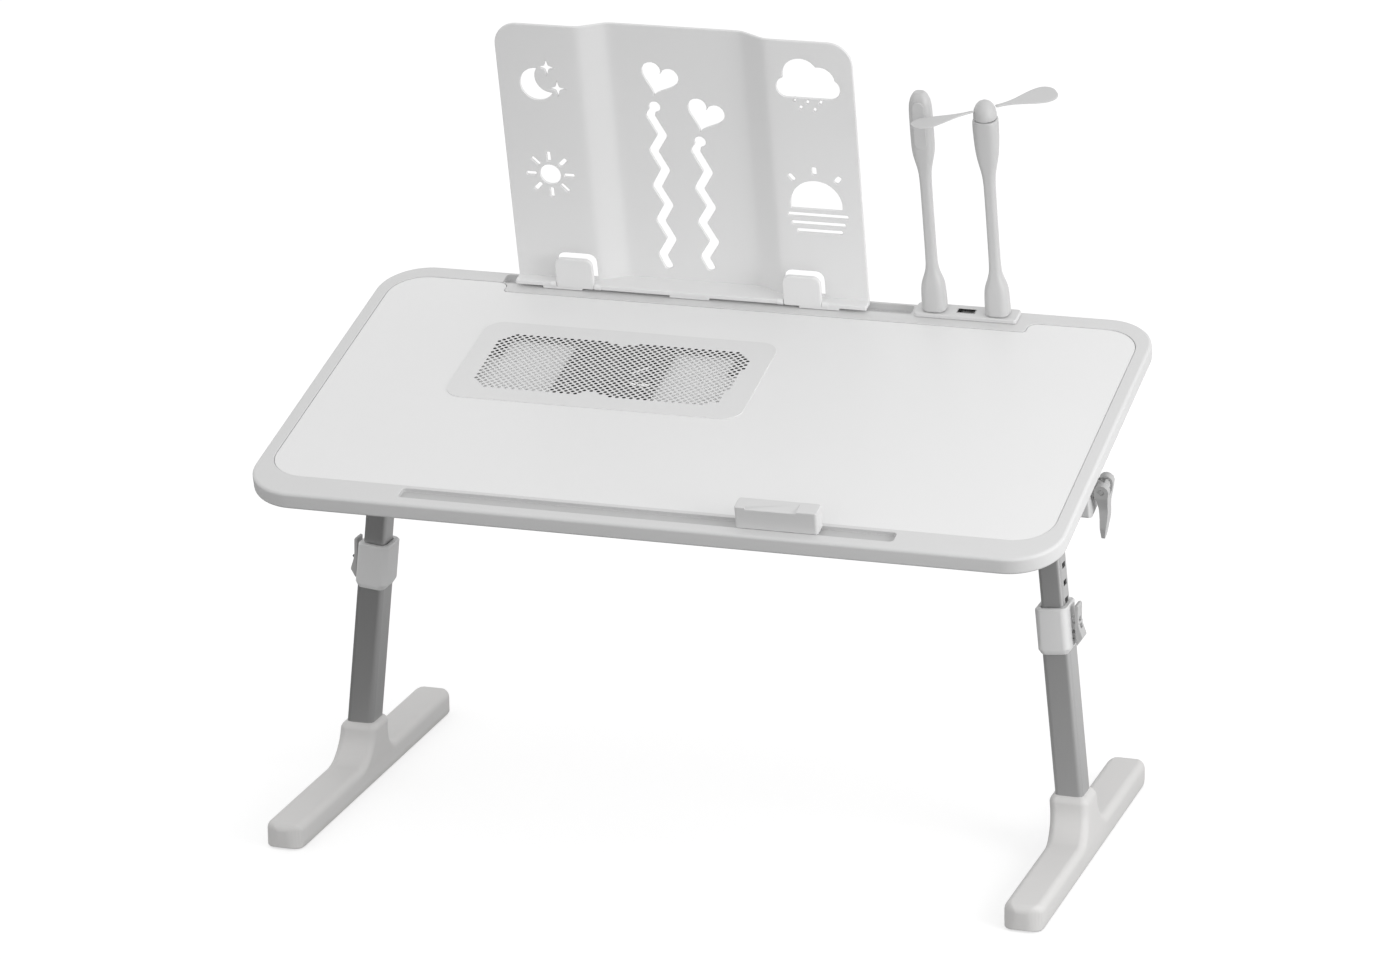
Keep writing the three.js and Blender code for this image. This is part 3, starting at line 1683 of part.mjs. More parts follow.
function lockPin() {
  const pivot = lockPivot();
  return rod("y", pivot.x, pivot.z, lockPinRadius, -lockPinHalfLength, lockPinHalfLength);
}

// The lock lever: hollowed at its middle for the thumb, with a tooth towards the tube.
function lockLever() {
  const pivot = lockPivot();
  const face = collarWidth / 2;
  const out = lockPivotOut;
  const top = -collarStart - 1.2 * clearance;
  const bottom = -collarEnd + collarChamferHeight;
  const side = outline([
    [face + out * 0.85, top],
    [face + out * 0.35, pivot.z + out * 0.6, out],
    [face + out * 0.25, pivot.z - out * 1.6, out],
    [face + out * 0.2, bottom + out],
    [face + out * 0.5, bottom],
    [face + out * 2.7, bottom + out * 2.3, out * 0.5],
    [face + out * 1.55, pivot.z, out * 4],
    [face + out * 2.1, top - out * 0.3, out * 0.4],
    [face + out * 1.7, top + out * 0.2],
  ]);
  const w = lockLeverHalfWidth;
  const body = prism(side, -w, w, "y", w * 0.08, 1);
  const toothEnd = innerTubeWidth / 2 + lockToothGap;
  const tooth = box(
    toothEnd,
    face + out,
    -lockToothHalfWidth,
    lockToothHalfWidth,
    -lockToothDepth - lockToothHeight / 2,
    -lockToothDepth + lockToothHeight / 2,
  );
  const lugHalf = lockLugHalfWidth + clearance;
  const lugRoom = rod("y", pivot.x - out / 2, pivot.z, lockLugHeight / 2 + 4 * clearance, -lugHalf, lugHalf);
  const pinRoom = rod(
    "y",
    pivot.x,
    pivot.z,
    lockPinRadius + clearance,
    -lockPinHalfLength - clearance,
    lockPinHalfLength + clearance,
  );
  return cut(joined(body, tooth), lugRoom, pinRoom);
}

// Foot, in a frame that stands on the floor under the leg

function footSide() {
  const half = footSocketDepth / 2;
  const reach = half + footSocketBlend;
  const base = footHeight - footEdgeRound / 2;
  return outline([
    [-reach, footLift],
    [reach, footLift],
    [reach, base],
    [half, base, footSocketBlend * 0.98],
    [half, footSocketTop, footSocketRound],
    [-half, footSocketTop, footSocketRound],
    [-half, base, footSocketBlend * 0.98],
    [-reach, base],
  ]);
}

function foot() {
  const halfWidth = footWidth / 2;
  const halfLength = footLength / 2;
  const plan = rectangle(-halfWidth, halfWidth, -halfLength, halfLength, footCornerRadius);
  const beam = prism(plan, -footHeight, footHeight, "z", footEdgeRound, 1);
  const floorCut = box(
    -footWidth,
    footWidth,
    -footLength,
    footLength,
    -footHeight - overrun,
    footLift,
  );
  const lean = -Math.tan(splay);
  const shear = new THREE.Matrix4().set(1, 0, lean, 0, 0, 1, 0, 0, 0, 0, 1, 0, 0, 0, 0, 1);
  const turretSide = extruded(footSide(), -halfWidth, halfWidth, "x");
  turretSide.translate(0, 0, -footHeight / 2).applyMatrix4(shear).translate(0, 0, footHeight / 2);
  const axisAtMiddle = footHeight / 2;
  const room = solid(
    extruded(
      tubeSection(outerTubeWidth, outerTubeDepth, outerTubeRadius, clearance),
      floorDepth - outerTubeEnd - clearance - axisAtMiddle,
      floorDepth,
      "z",
    )
      .rotateY(-splay)
      .translate(0, 0, axisAtMiddle),
  );
  const pockets = [];
  const pocketStart = footSocketDepth / 2 + footWall;
  const pocketEnd = halfLength - padEndInset - padLength - footWall;
  const pitch = (pocketEnd - pocketStart) / footPocketCount;
  [-1, 1].forEach((side) => {
    for (let index = 0; index < footPocketCount; index += 1) {
      const near = side * (pocketStart + index * pitch);
      const far = side * (pocketStart + (index + 1) * pitch - footWall);
      pockets.push(
        box(
          -halfWidth + footWall,
          halfWidth - footWall,
          Math.min(near, far),
          Math.max(near, far),
          -overrun,
          footLift + footPocketHeight,
        ),
      );
    }
  });
  return cut(cut(joined(beam, solid(turretSide)), floorCut, ...pockets), room);
}

function footPad(side) {
  const half = footWidth / 2 - padInset;
  const end = footLength / 2 - padEndInset;
  const near = end - padLength;
  const from = side > 0 ? near : -end;
  const shape = rectangle(-half, half, from, from + padLength, half * 0.6);
  return prism(shape, 0, padThickness);
}

// Assembly

function addTop(group) {
  group.add(meshOf("tabletop_frame", tabletopFrame(), rimPlastic));
  group.add(meshOf("desk_panel", deskPanel(), panelFinish));
  group.add(meshOf("vent_cover", ventCover(), rimPlastic));
  group.add(meshOf("cooler_tray", coolerTray(), rimPlastic));
  group.add(meshOf("cooler_housing", coolerHousing(), darkPlastic));
  group.add(meshOf("cooler_rotor", coolerRotor(), darkPlastic));
  group.add(meshOf("cooler_guard", coolerGuard(), darkPlastic));
  group.add(meshOf("usb_hub_base", hubBase(), rimPlastic));
  ["left", "middle", "right"].forEach((place, index) => {
    group.add(meshOf(`usb_port_${place}`, usbPort(index - 1), steel));
  });
  group.add(meshOf("lamp_plug", usbPlug(-1), steel));
  group.add(meshOf("lamp_stick", lampStick(), stickPlastic));
  group.add(meshOf("lamp_lens", lampLens(), lensPlastic));
  group.add(meshOf("fan_plug", usbPlug(1), steel));
  group.add(meshOf("fan_stick", fanStick(), stickPlastic));
  group.add(meshOf("fan_hub", fanHub(), stickPlastic));
  group.add(meshOf("fan_blade_back", fanBlade(1), bladePlastic));
  group.add(meshOf("fan_blade_front", fanBlade(-1), bladePlastic));
  group.add(meshOf("laptop_stopper", laptopStopper(), rimPlastic));
}

function addStand(group) {
  const lean = new THREE.Group();
  lean.position.set(0, standFront, 0);
  lean.rotation.x = -radians(standLean);
  const own = new THREE.Group();
  own.position.set(0, -standFront, 0);
  own.add(meshOf("book_stand", bookStand(), standPlastic));
  ["left", "right"].forEach((place, index) => {
    own.add(meshOf(`page_clip_${place}`, pageClip(clipCentres[index]), standPlastic));
  });
  lean.add(own);
  group.add(lean);
}

function addLegMount(group, side, name) {
  group.add(meshOf(`leg_bracket_${name}`, legBracket(), jointPlastic, side));
  group.add(meshOf(`fold_pin_${name}`, foldPin(), steel, side));
  group.add(meshOf(`fold_knuckle_${name}`, foldKnuckle(), jointPlastic, side));
  group.add(meshOf(`tilt_bolt_${name}`, tiltBolt(), steel, side));
  group.add(meshOf(`tilt_washer_${name}`, tiltWasher(), leverPlastic, side));
  group.add(meshOf(`cross_pin_${name}`, crossPin(), steel, side));
  group.add(meshOf(`tilt_lever_${name}`, tiltLever(), leverPlastic, side));
}

// The leg stands upright on the floor, so its group undoes the tilt of the top.
function addLeg(group, side, name) {
  const upright = new THREE.Group();
  upright.position.set(side * tiltAxisX, legAxisY, tiltAxisZ);
  upright.rotation.x = -tilt;
  upright.add(meshOf(`leg_head_${name}`, legHead(), jointPlastic, side));
  const leaning = new THREE.Group();
  leaning.rotation.y = -side * splay;
  leaning.add(meshOf(`inner_tube_${name}`, innerTube(), tubePaint, side));
  leaning.add(meshOf(`outer_tube_${name}`, outerTube(), tubePaint, side));
  leaning.add(meshOf(`collar_${name}`, collar(), jointPlastic, side));
  leaning.add(meshOf(`lock_pin_${name}`, lockPin(), steel, side));
  leaning.add(meshOf(`lock_lever_${name}`, lockLever(), leverPlastic, side));
  upright.add(leaning);
  const standing = new THREE.Group();
  const footX = legAxisFloorX - (Math.tan(splay) * footHeight) / 2 - tiltAxisX;
  standing.position.set(side * footX, 0, -pivotHeight);
  standing.add(meshOf(`foot_${name}`, foot(), footPlastic, side));
  standing.add(meshOf(`foot_pad_front_${name}`, footPad(-1), rubber, side));
  standing.add(meshOf(`foot_pad_back_${name}`, footPad(1), rubber, side));
  upright.add(standing);
  group.add(upright);
}

function buildTable() {
  const top = new THREE.Group();
  top.rotation.x = tilt;
  addTop(top);
  addStand(top);
  [
    [-1, "left"],
    [1, "right"],
  ].forEach(([side, name]) => {
    addLegMount(top, side, name);
    addLeg(top, side, name);
  });
  const table = new THREE.Group();
  table.add(top);
  return table;
}

// The origin is the middle of the base of the whole table's bounding box.
function standOnOrigin(table) {
  table.updateMatrixWorld(true);
  const bounds = new THREE.Box3().setFromObject(table, true);
  const middle = bounds.getCenter(new THREE.Vector3());
  table.children[0].position.set(0, -middle.y, -bounds.min.z);
  table.updateMatrixWorld(true);
  return table;
}

const laptopTable = standOnOrigin(buildTable());

export default laptopTable;
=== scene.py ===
# Laptop table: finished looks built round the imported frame
import math

import bmesh
import bpy
from mathutils import Matrix, Vector


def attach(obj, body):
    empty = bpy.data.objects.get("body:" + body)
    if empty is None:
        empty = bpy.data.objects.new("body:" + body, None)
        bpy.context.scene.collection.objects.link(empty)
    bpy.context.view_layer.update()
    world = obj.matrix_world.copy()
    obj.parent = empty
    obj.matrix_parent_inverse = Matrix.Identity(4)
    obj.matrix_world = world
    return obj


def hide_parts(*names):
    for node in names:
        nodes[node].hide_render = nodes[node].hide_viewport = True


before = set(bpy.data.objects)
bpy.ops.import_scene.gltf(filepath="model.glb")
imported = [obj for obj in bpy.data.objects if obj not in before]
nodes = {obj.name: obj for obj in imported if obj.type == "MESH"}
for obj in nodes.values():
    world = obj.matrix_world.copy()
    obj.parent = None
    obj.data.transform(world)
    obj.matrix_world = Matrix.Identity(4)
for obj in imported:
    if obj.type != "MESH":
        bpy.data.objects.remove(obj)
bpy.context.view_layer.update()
print("frame loaded:", len(nodes), "nodes")

# Places in mm and slopes in degrees. Pieces are drawn in the frame of the top, the stand or a leg.
layout = {
    "topAt": (0, -165.8017, 276.8588),  # middle of the front top edge
    "tilt": 15.1,
    "standLean": 1.3,
    "standY": 319,
    "tiltAxis": (250.4, 166.3, -40),
    "splay": 5.8,
    "legAtFloor": 279,
    "footHeight": 20,
}


def turned(slope, axis):
    return Matrix.Rotation(math.radians(slope), 4, axis)


tilt = math.radians(layout["tilt"])
splay = math.radians(layout["splay"])
onTop = Matrix.Scale(0.001, 4) @ Matrix.Translation(layout["topAt"]) @ Matrix.Rotation(tilt, 4, "X")
onStand = (
    onTop
    @ Matrix.Translation((0, layout["standY"], 0))
    @ turned(-layout["standLean"], "X")
    @ Matrix.Translation((0, -layout["standY"], 0))
)
axisHeight = (layout["legAtFloor"] - layout["tiltAxis"][0]) / math.tan(splay)


def legFrame(side, part="leg"):
    x, y, z = layout["tiltAxis"]
    upright = onTop @ Matrix.Translation((side * x, y, z)) @ Matrix.Rotation(-tilt, 4, "X")
    if part == "leg":
        return upright @ Matrix.Rotation(-side * splay, 4, "Y")
    footX = layout["legAtFloor"] - math.tan(splay) * layout["footHeight"] / 2 - x
    return upright @ Matrix.Translation((side * footX, 0, -axisHeight))


# Node tools

def feed(tree, node, inputs):
    # a value is set; a node or one of its outputs is linked
    for label, value in inputs.items():
        if isinstance(value, bpy.types.Node):
            value = value.outputs[0]
        if isinstance(value, bpy.types.NodeSocket):
            tree.links.new(value, node.inputs[label])
        else:
            node.inputs[label].default_value = value


def addNode(tree, kind, inputs={}, **settings):
    node = tree.nodes.new("ShaderNode" + kind)
    for label, value in settings.items():
        setattr(node, label, value)
    feed(tree, node, inputs)
    return node


def mathNode(tree, operation, first, second):
    return addNode(tree, "Math", {0: first, 1: second}, operation=operation).outputs[0]


# Camera, light and floor

view = {
    "location": (1.1592178, -3.5972002, 1.4303160),
    "right": (0.95196832, 0.30612104, -0.00679944),
    "up": (-0.08427491, 0.28329544, 0.95532269),
    "back": (0.29437063, -0.90886391, 0.29548661),
    "lens": 140.0953,
    "film": 36,
    "clip": (0.05, 60),
    "skyLevels": (1.1, 0.76),  # at the horizon and overhead
    "lampFrom": (0.93, -0.33, 0.2),
    "lampDistance": 1.25,
    "lampLift": 0.25,
    "lampSize": 0.7,
    "lampPower": 5.5,
    "floorSize": 30,
    "floorBelow": (0.3, 0.3, 0.3, 1),  # what lights the object from below
    "floorShadow": (0.42, 0.42, 0.42, 1),
    "floorGlow": 0.68,
    "mirrorWay": (1, 0.6, 0),  # mirrored in metal, the floor is darker in front and to the left
    "mirrorRun": (-0.6, 1),
    "mirrorLevels": (0.08, 1.15),
}
white = (1, 1, 1, 1)


def putIn(name, data):
    made = bpy.data.objects.new(name, data)
    bpy.context.scene.collection.objects.link(made)
    return made


def setCamera():
    data = bpy.data.cameras.new("photoCamera")
    data.lens = view["lens"]
    data.sensor_width = view["film"]
    data.clip_start, data.clip_end = view["clip"]
    camera = putIn("photoCamera", data)
    turn = Matrix((view["right"], view["up"], view["back"])).transposed().to_4x4()
    camera.matrix_world = Matrix.Translation(view["location"]) @ turn
    bpy.context.scene.camera = camera


def setLight():
    world = bpy.data.worlds.new("paleStudio")
    bpy.context.scene.world = world
    world.use_nodes = True
    tree = world.node_tree
    tree.nodes.clear()
    path = addNode(tree, "LightPath").outputs
    seen = mathNode(tree, "MAXIMUM", path["Is Camera Ray"], path["Is Glossy Ray"])
    through = mathNode(tree, "MAXIMUM", seen, path["Is Transmission Ray"])
    direction = addNode(tree, "TexCoord").outputs["Generated"]
    height = addNode(tree, "SeparateXYZ", {0: direction}).outputs["Z"]
    horizon, overhead = view["skyLevels"]
    level = addNode(tree, "MapRange", {"Value": height, "To Min": horizon, "To Max": overhead})
    sky = addNode(tree, "Background", {"Color": white, "Strength": level})
    plain = addNode(tree, "Background", {"Color": white, "Strength": 1})
    mix = addNode(tree, "MixShader", {0: through, 1: sky, 2: plain})
    addNode(tree, "OutputWorld", {"Surface": mix})

    data = bpy.data.lights.new("softLamp", "AREA")
    data.shape = "DISK"
    data.size = view["lampSize"]
    data.energy = view["lampPower"]
    lamp = putIn("softLamp", data)
    toward = Vector(view["lampFrom"]).normalized()
    place = toward * view["lampDistance"] + Vector((0, 0, view["lampLift"]))
    lamp.matrix_world = Matrix.Translation(place) @ toward.to_track_quat("Z", "Y").to_matrix().to_4x4()
    lamp.visible_camera = False
    bpy.context.scene.view_settings.view_transform = "Standard"


def addFloor():
    bm = bmesh.new()
    bmesh.ops.create_grid(bm, x_segments=2, y_segments=2, size=view["floorSize"])
    floor = putIn("studioFloor", asMesh(bm, "studioFloor"))
    material = bpy.data.materials.new("paleFloor")
    material.use_nodes = True
    tree = material.node_tree
    tree.nodes.clear()
    path = addNode(tree, "LightPath").outputs
    matt = addNode(tree, "BsdfDiffuse", {"Color": view["floorBelow"]})
    shadowed = addNode(tree, "BsdfDiffuse", {"Color": view["floorShadow"]})
    glow = addNode(tree, "Emission", {"Color": white, "Strength": view["floorGlow"]})
    seenFloor = addNode(tree, "AddShader", {0: shadowed, 1: glow})
    where = addNode(tree, "TexCoord").outputs["Object"]
    ways = {0: where, 1: view["mirrorWay"]}
    lean = addNode(tree, "VectorMath", ways, operation="DOT_PRODUCT").outputs["Value"]
    labels = ("From Min", "From Max", "To Min", "To Max")
    steps = dict(zip(labels, view["mirrorRun"] + view["mirrorLevels"]))
    fade = addNode(tree, "MapRange", {"Value": lean, **steps})
    mirrored = addNode(tree, "Emission", {"Strength": fade})
    below = addNode(tree, "MixShader", {"Fac": path["Is Glossy Ray"], 1: matt, 2: mirrored})
    mix = addNode(tree, "MixShader", {"Fac": path["Is Camera Ray"], 1: below, 2: seenFloor})
    addNode(tree, "OutputMaterial", {"Surface": mix})
    floor.data.materials.append(material)


# Finishes

def grey(level, warm=0):
    # a screen grey of 0 to 255 as the shader's own colour; warm lifts red and lowers blue
    def linear(value):
        value = value / 255
        return value / 12.92 if value <= 0.04045 else ((value + 0.055) / 1.055) ** 2.4

    return (linear(level + warm), linear(level), linear(level - warm), 1)


def newGroup(name, ownInputs):
    # every finish has two tones and a roughness, and gives colour, roughness and height
    group = bpy.data.node_groups.new(name, "ShaderNodeTree")
    sides = {
        "INPUT": ("Colour", "Shade", "Roughness", *ownInputs),
        "OUTPUT": ("Colour", "Roughness", "Height"),
    }
    for side, labels in sides.items():
        for label in labels:
            kind = "NodeSocketColor" if label in ("Colour", "Shade") else "NodeSocketFloat"
            group.interface.new_socket(name=label, in_out=side, socket_type=kind)
    return group, group.nodes.new("NodeGroupInput").outputs


def endGroup(group, given, share, rougher, height):
    tones = {"Factor": share, "A": given["Colour"], "B": given["Shade"]}
    mix = addNode(group, "Mix", tones, data_type="RGBA")
    rough = mathNode(group, "ADD", given["Roughness"], rougher)
    results = {"Colour": mix.outputs["Result"], "Roughness": rough, "Height": height}
    feed(group, group.nodes.new("NodeGroupOutput"), results)
    return group


def noiseNode(tree, vector, scale, detail=2.0, roughness=0.5):
    inputs = {"Vector": vector, "Scale": scale, "Detail": detail, "Roughness": roughness}
    return addNode(tree, "TexNoise", inputs).outputs["Fac"]


def blend(tree, first, second, part):
    # part of the first pattern, the rest of the second
    most = mathNode(tree, "MULTIPLY", first, part)
    return mathNode(tree, "ADD", most, mathNode(tree, "MULTIPLY", second, 1 - part))


def swing(tree, pattern, reach):
    # a pattern of 0 to 1 as a change both up and down
    return mathNode(tree, "MULTIPLY", mathNode(tree, "SUBTRACT", pattern, 0.5), reach)


def makeMouldedGroup():
    # moulded plastic: slow drift of tone, fine spark-eroded grain, faint flow marks in the gloss
    group, given = newGroup("mouldedFinish", ("Grain Size", "Grain"))
    coord = addNode(group, "TexCoord").outputs["Object"]
    drift = noiseNode(group, coord, 7.0, 3.0)
    speck = noiseNode(group, coord, given["Grain Size"], 2.0, 0.6)
    flow = noiseNode(group, coord, 55.0, 4.0)
    rougher = mathNode(group, "ADD", swing(group, flow, 0.14), swing(group, speck, 0.1))
    height = mathNode(group, "MULTIPLY", speck, given["Grain"])
    return endGroup(group, given, blend(group, drift, speck, 0.75), rougher, height)


def makeDrawnGroup():
    # drawn metal: fine lines along the length, a slow drift across
    group, given = newGroup("drawnFinish", ("Line",))
    coord = addNode(group, "TexCoord").outputs["Object"]
    stretch = addNode(group, "Mapping", {"Vector": coord, "Scale": (900, 900, 14)})
    lines = noiseNode(group, stretch.outputs["Vector"], 1.0, 3.0, 0.6)
    drift = noiseNode(group, coord, 22.0, 3.0)
    height = mathNode(group, "MULTIPLY", lines, given["Line"])
    return endGroup(group, given, blend(group, lines, drift, 0.5), swing(group, lines, 0.2), height)


mouldedGroup = makeMouldedGroup()
drawnGroup = makeDrawnGroup()


def finish(name, group, relief, tones, roughness, own, metallic=0.0):
    material = bpy.data.materials.new(name)
    material.use_nodes = True
    tree = material.node_tree
    values = {"Colour": tones[0], "Shade": tones[1], "Roughness": roughness, **own}
    given = addNode(tree, "Group", values, node_tree=group).outputs
    bump = addNode(tree, "Bump", {"Distance": relief, "Strength": 1, "Height": given["Height"]})
    surface = {
        "Base Color": given["Colour"],
        "Roughness": given["Roughness"],
        "Normal": bump,
        "Metallic": metallic,
    }
    feed(tree, tree.nodes["Principled BSDF"], surface)
    return material


def moulded(name, light, dark, roughness, grain=0.5, size=1600, warm=0):
    tones = (grey(light, warm), grey(dark, warm))
    return finish(name, mouldedGroup, 0.00006, tones, roughness, {"Grain Size": size, "Grain": grain})


def drawn(name, light, dark, roughness, metallic):
    tones = (grey(light), grey(dark))
    return finish(name, drawnGroup, 0.00003, tones, roughness, {"Line": 0.5}, metallic)


def paintRecessShade(material, level):
    # painted shade: the faces that the mesh marks as recess get a darker colour in place of the shade that
    # falls in the slot
    tree = material.node_tree
    skin = tree.nodes["Principled BSDF"]
    shadeMask = addNode(tree, "Attribute", attribute_name="recess").outputs["Fac"]
    tones = {0: shadeMask, 6: skin.inputs["Base Color"].links[0].from_socket, 7: grey(level)}
    paintedShade = addNode(tree, "Mix", tones, data_type="RGBA", blend_type="MULTIPLY")
    feed(tree, skin, {"Base Color": paintedShade.outputs[2]})


ventFinish = moulded("ventFinish", 229, 224, 0.5)
trayFinish = moulded("trayFinish", 250, 247, 0.5)
# painted shade: the dark tone of the strip on the tray floor
shadeStripFinish = moulded("shadeStripFinish", 58, 46, 0.9, grain=1.2, size=900)
finishOf = {
    "frame_plastic": moulded("rimFinish", 219, 214, 0.5),
    "panel_board": moulded("boardFinish", 237, 233, 0.42, grain=0.8, size=900),
    "stand_plastic": moulded("standFinish", 236, 231, 0.5),
    "joint_plastic": moulded("jointFinish", 224, 218, 0.5),
    "foot_plastic": moulded("footFinish", 215, 209, 0.55, grain=0.8, warm=1),
    "lever_plastic": moulded("leverFinish", 190, 182, 0.5),
    "stick_plastic": moulded("stickFinish", 203, 198, 0.45),
    "soft_blade": moulded("bladeFinish", 207, 202, 0.5),
    "black_plastic": moulded("blackFinish", 18, 13, 0.45),
    "lens_plastic": moulded("lensFinish", 206, 201, 0.35, grain=0.1),
    "pad_rubber": moulded("rubberFinish", 150, 138, 0.85, grain=1.2, size=700),
    "tube_metal": drawn("tubeFinish", 173, 166, 0.34, 0.6),
    "steel": drawn("steelFinish", 200, 186, 0.28, 1.0),
}
# painted shade in the slot of the rim
paintRecessShade(finishOf["frame_plastic"], 227)
print("finishes made")


# Shape tools

def reshape(bm, matrix, verts=None):
    bmesh.ops.transform(bm, matrix=matrix, verts=verts or bm.verts)


def moveBy(bm, way, verts=None):
    bmesh.ops.translate(bm, vec=way, verts=verts or bm.verts)


def joinUp(bm, nearest=0.002):
    # points closer than this become one
    bmesh.ops.remove_doubles(bm, verts=bm.verts, dist=nearest)


def quarter(radius, inward, upward, steps=4):
    # a quarter round from a wall to a cap, as steps of inset and rise
    made = []
    for step in range(steps):
        start = math.pi / 2 * step / steps
        end = math.pi / 2 * (step + 1) / steps
        inset = inward * radius * (math.cos(start) - math.cos(end))
        made.append((inset, upward * radius * (math.sin(end) - math.sin(start))))
    return made


def roundedFace(bm, corners, height=0.0, segments=7):
    # a flat face whose corners (x, y, radius) are rounded off
    known = set(bm.faces)
    if sum(a[0] * b[1] - b[0] * a[1] for a, b in zip(corners, corners[1:] + corners[:1])) < 0:
        corners = corners[::-1]
    made = [bm.verts.new((*corner[:2], height)) for corner in corners]
    bm.faces.new(made).normal_update()
    for index, vert in enumerate(made):
        here, before, after = (
            Vector(corners[place % len(corners)][:2]) for place in (index, index - 1, index + 1)
        )
        radius = corners[index][2] if len(corners[index]) > 2 else 0
        if radius > 0:
            half = (before - here).normalized().angle((after - here).normalized()) / 2
            bmesh.ops.bevel(
                bm, geom=[vert], offset=radius / math.tan(half), offset_type="OFFSET",
                segments=segments, profile=0.5, affect="VERTICES", material=-1, clamp_overlap=False,
            )
    face = next(face for face in bm.faces if face not in known)
    face.normal_update()
    return face


def follow(bm, face, steps):
    for inset, rise in steps:
        bmesh.ops.inset_individual(bm, faces=[face], thickness=inset, depth=rise, use_even_offset=True)
    return face


def sweepWall(bm, corners, start, upSteps, downSteps, segments=7, keepFloor=False):
    # a closed wall that leaves one height both ways; its end faces go, but a floor can stay
    upper = follow(bm, roundedFace(bm, corners, start, segments), upSteps)
    lower = follow(bm, roundedFace(bm, corners, start, segments), downSteps)
    bm.faces.remove(upper)
    if not keepFloor:
        bm.faces.remove(lower)


def closeCap(bm, height):
    joinUp(bm)
    loose = [edge for edge in bm.edges if edge.is_boundary]
    rim = [edge for edge in loose if all(abs(vert.co.z - height) < 0.004 for vert in edge.verts)]
    bmesh.ops.triangle_fill(bm, use_beauty=True, use_dissolve=False, edges=rim)


def slab(bm, corners, bottom, top, edge, holes=(), foot=None, segments=7, steps=4):
    # a plate with rounded edges; each hole is a set of corners with its own edge round
    foot = edge if foot is None else foot
    start = top - edge
    downSteps = [(0, bottom + foot - start)] + quarter(foot, 1, -1, steps)
    sweepWall(bm, corners, start, quarter(edge, 1, 1, steps), downSteps, segments)
    for hole in holes:
        lip = hole.get("lip", edge)
        start = top - lip
        upSteps = quarter(lip, -1, 1, 3)
        if "floor" in hole:
            inner = hole.get("floorRound", 0.4)
            downSteps = [(0, hole["floor"] + inner - start)] + quarter(inner, 1, -1, 2)
        else:
            back = hole.get("backLip", lip)
            shelf = hole.get("steps", [])
            drop = bottom + back - start - sum(rise for inset, rise in shelf)
            downSteps = [*shelf, (0, drop), *quarter(back, -1, -1, 3)]
        parts = hole.get("segments", 6)
        sweepWall(bm, hole["corners"], start, upSteps, downSteps, parts, "floor" in hole)
    closeCap(bm, top)
    closeCap(bm, bottom)


def rectangle(left, right, near, far, radius=0.0, farRadius=None):
    last = radius if farRadius is None else farRadius
    return [(left, near, radius), (right, near, radius), (right, far, last), (left, far, last)]


def centred(x, y, width, depth, radius):
    return rectangle(x - width / 2, x + width / 2, y - depth / 2, y + depth / 2, radius)


def ringOf(x, y, radius, count):
    return arcPoints(x, y, radius, 0, 360, count)[:-1]


def arcPoints(x, y, radius, start, end, count):
    made = []
    for index in range(count + 1):
        angle = math.radians(start + (end - start) * index / count)
        made.append((x + radius * math.cos(angle), y + radius * math.sin(angle)))
    return made


def bar(x, y, slope, start, length, width):
    # a bar on a ray that leaves a point at a slope
    angle = math.radians(slope)
    along = Vector((math.cos(angle), math.sin(angle)))
    across = along.orthogonal() * width / 2
    near = Vector((x + start * math.cos(angle), y + start * math.sin(angle)))
    far = near + along * length
    points = (near - across, far - across, far + across, near + across)
    return [(*point, width * 0.3) for point in points]


def standUp(bm, y):
    # a drawing laid flat is stood up, its upper side to the front
    reshape(bm, turned(90, "X"))
    moveBy(bm, (0, y, 0))


def everything(bm):
    return bm.verts[:] + bm.edges[:] + bm.faces[:]


def cutAcross(bm, point, way, geom=None):
    # a cut through all of it, or through the part that is given
    bmesh.ops.bisect_plane(bm, geom=geom or everything(bm), dist=0.0005, plane_co=point, plane_no=way)


def drawOut(bm, edges):
    # a row of edges is pulled out once more: its new points, and its new edges
    made = bmesh.ops.extrude_edge_only(bm, edges=edges)["geom"]
    verts = [item for item in made if isinstance(item, bmesh.types.BMVert)]
    return verts, [item for item in made if isinstance(item, bmesh.types.BMEdge)]


def addPin(bm, place, radius, length, segments):
    # a round pin that lies along x
    pin = bmesh.ops.create_cone(
        bm, cap_ends=True, segments=segments, radius1=radius, radius2=radius, depth=length
    )["verts"]
    reshape(bm, Matrix.Translation(place) @ turned(90, "Y"), pin)


def asMesh(bm, name):
    mesh = bpy.data.meshes.new(name)
    bm.to_mesh(mesh)
    bm.free()
    return mesh


def takeIn(target, drawing):
    # one drawing becomes part of another
    mesh = asMesh(drawing, "drawing")
    target.from_mesh(mesh)
    bpy.data.meshes.remove(mesh)


def finishPiece(name, bm, at, body, slotName, replaced=(), side=1, sharp=38, weighted=True, material=None):
    if side < 0:
        bmesh.ops.scale(bm, vec=(-1, 1, 1), verts=bm.verts)
    joinUp(bm)
    reshape(bm, at)
    bmesh.ops.recalc_face_normals(bm, faces=bm.faces)
    for face in bm.faces:
        face.smooth = True
    limit = math.radians(sharp)
    for edge in bm.edges:
        edge.smooth = edge.is_manifold and edge.calc_face_angle(0) < limit
    piece = putIn(name, asMesh(bm, name))
    piece.data.materials.append(material or finishOf[slotName])
    if weighted:
        shade = piece.modifiers.new("faceWeight", "WEIGHTED_NORMAL")
        shade.keep_sharp = True
    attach(piece, body)
    if replaced:
        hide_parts(*replaced)
    return piece


def smoothed(piece, levels=2):
    shape = piece.modifiers.new("softForm", "SUBSURF")
    shape.levels = levels
    shape.render_levels = levels


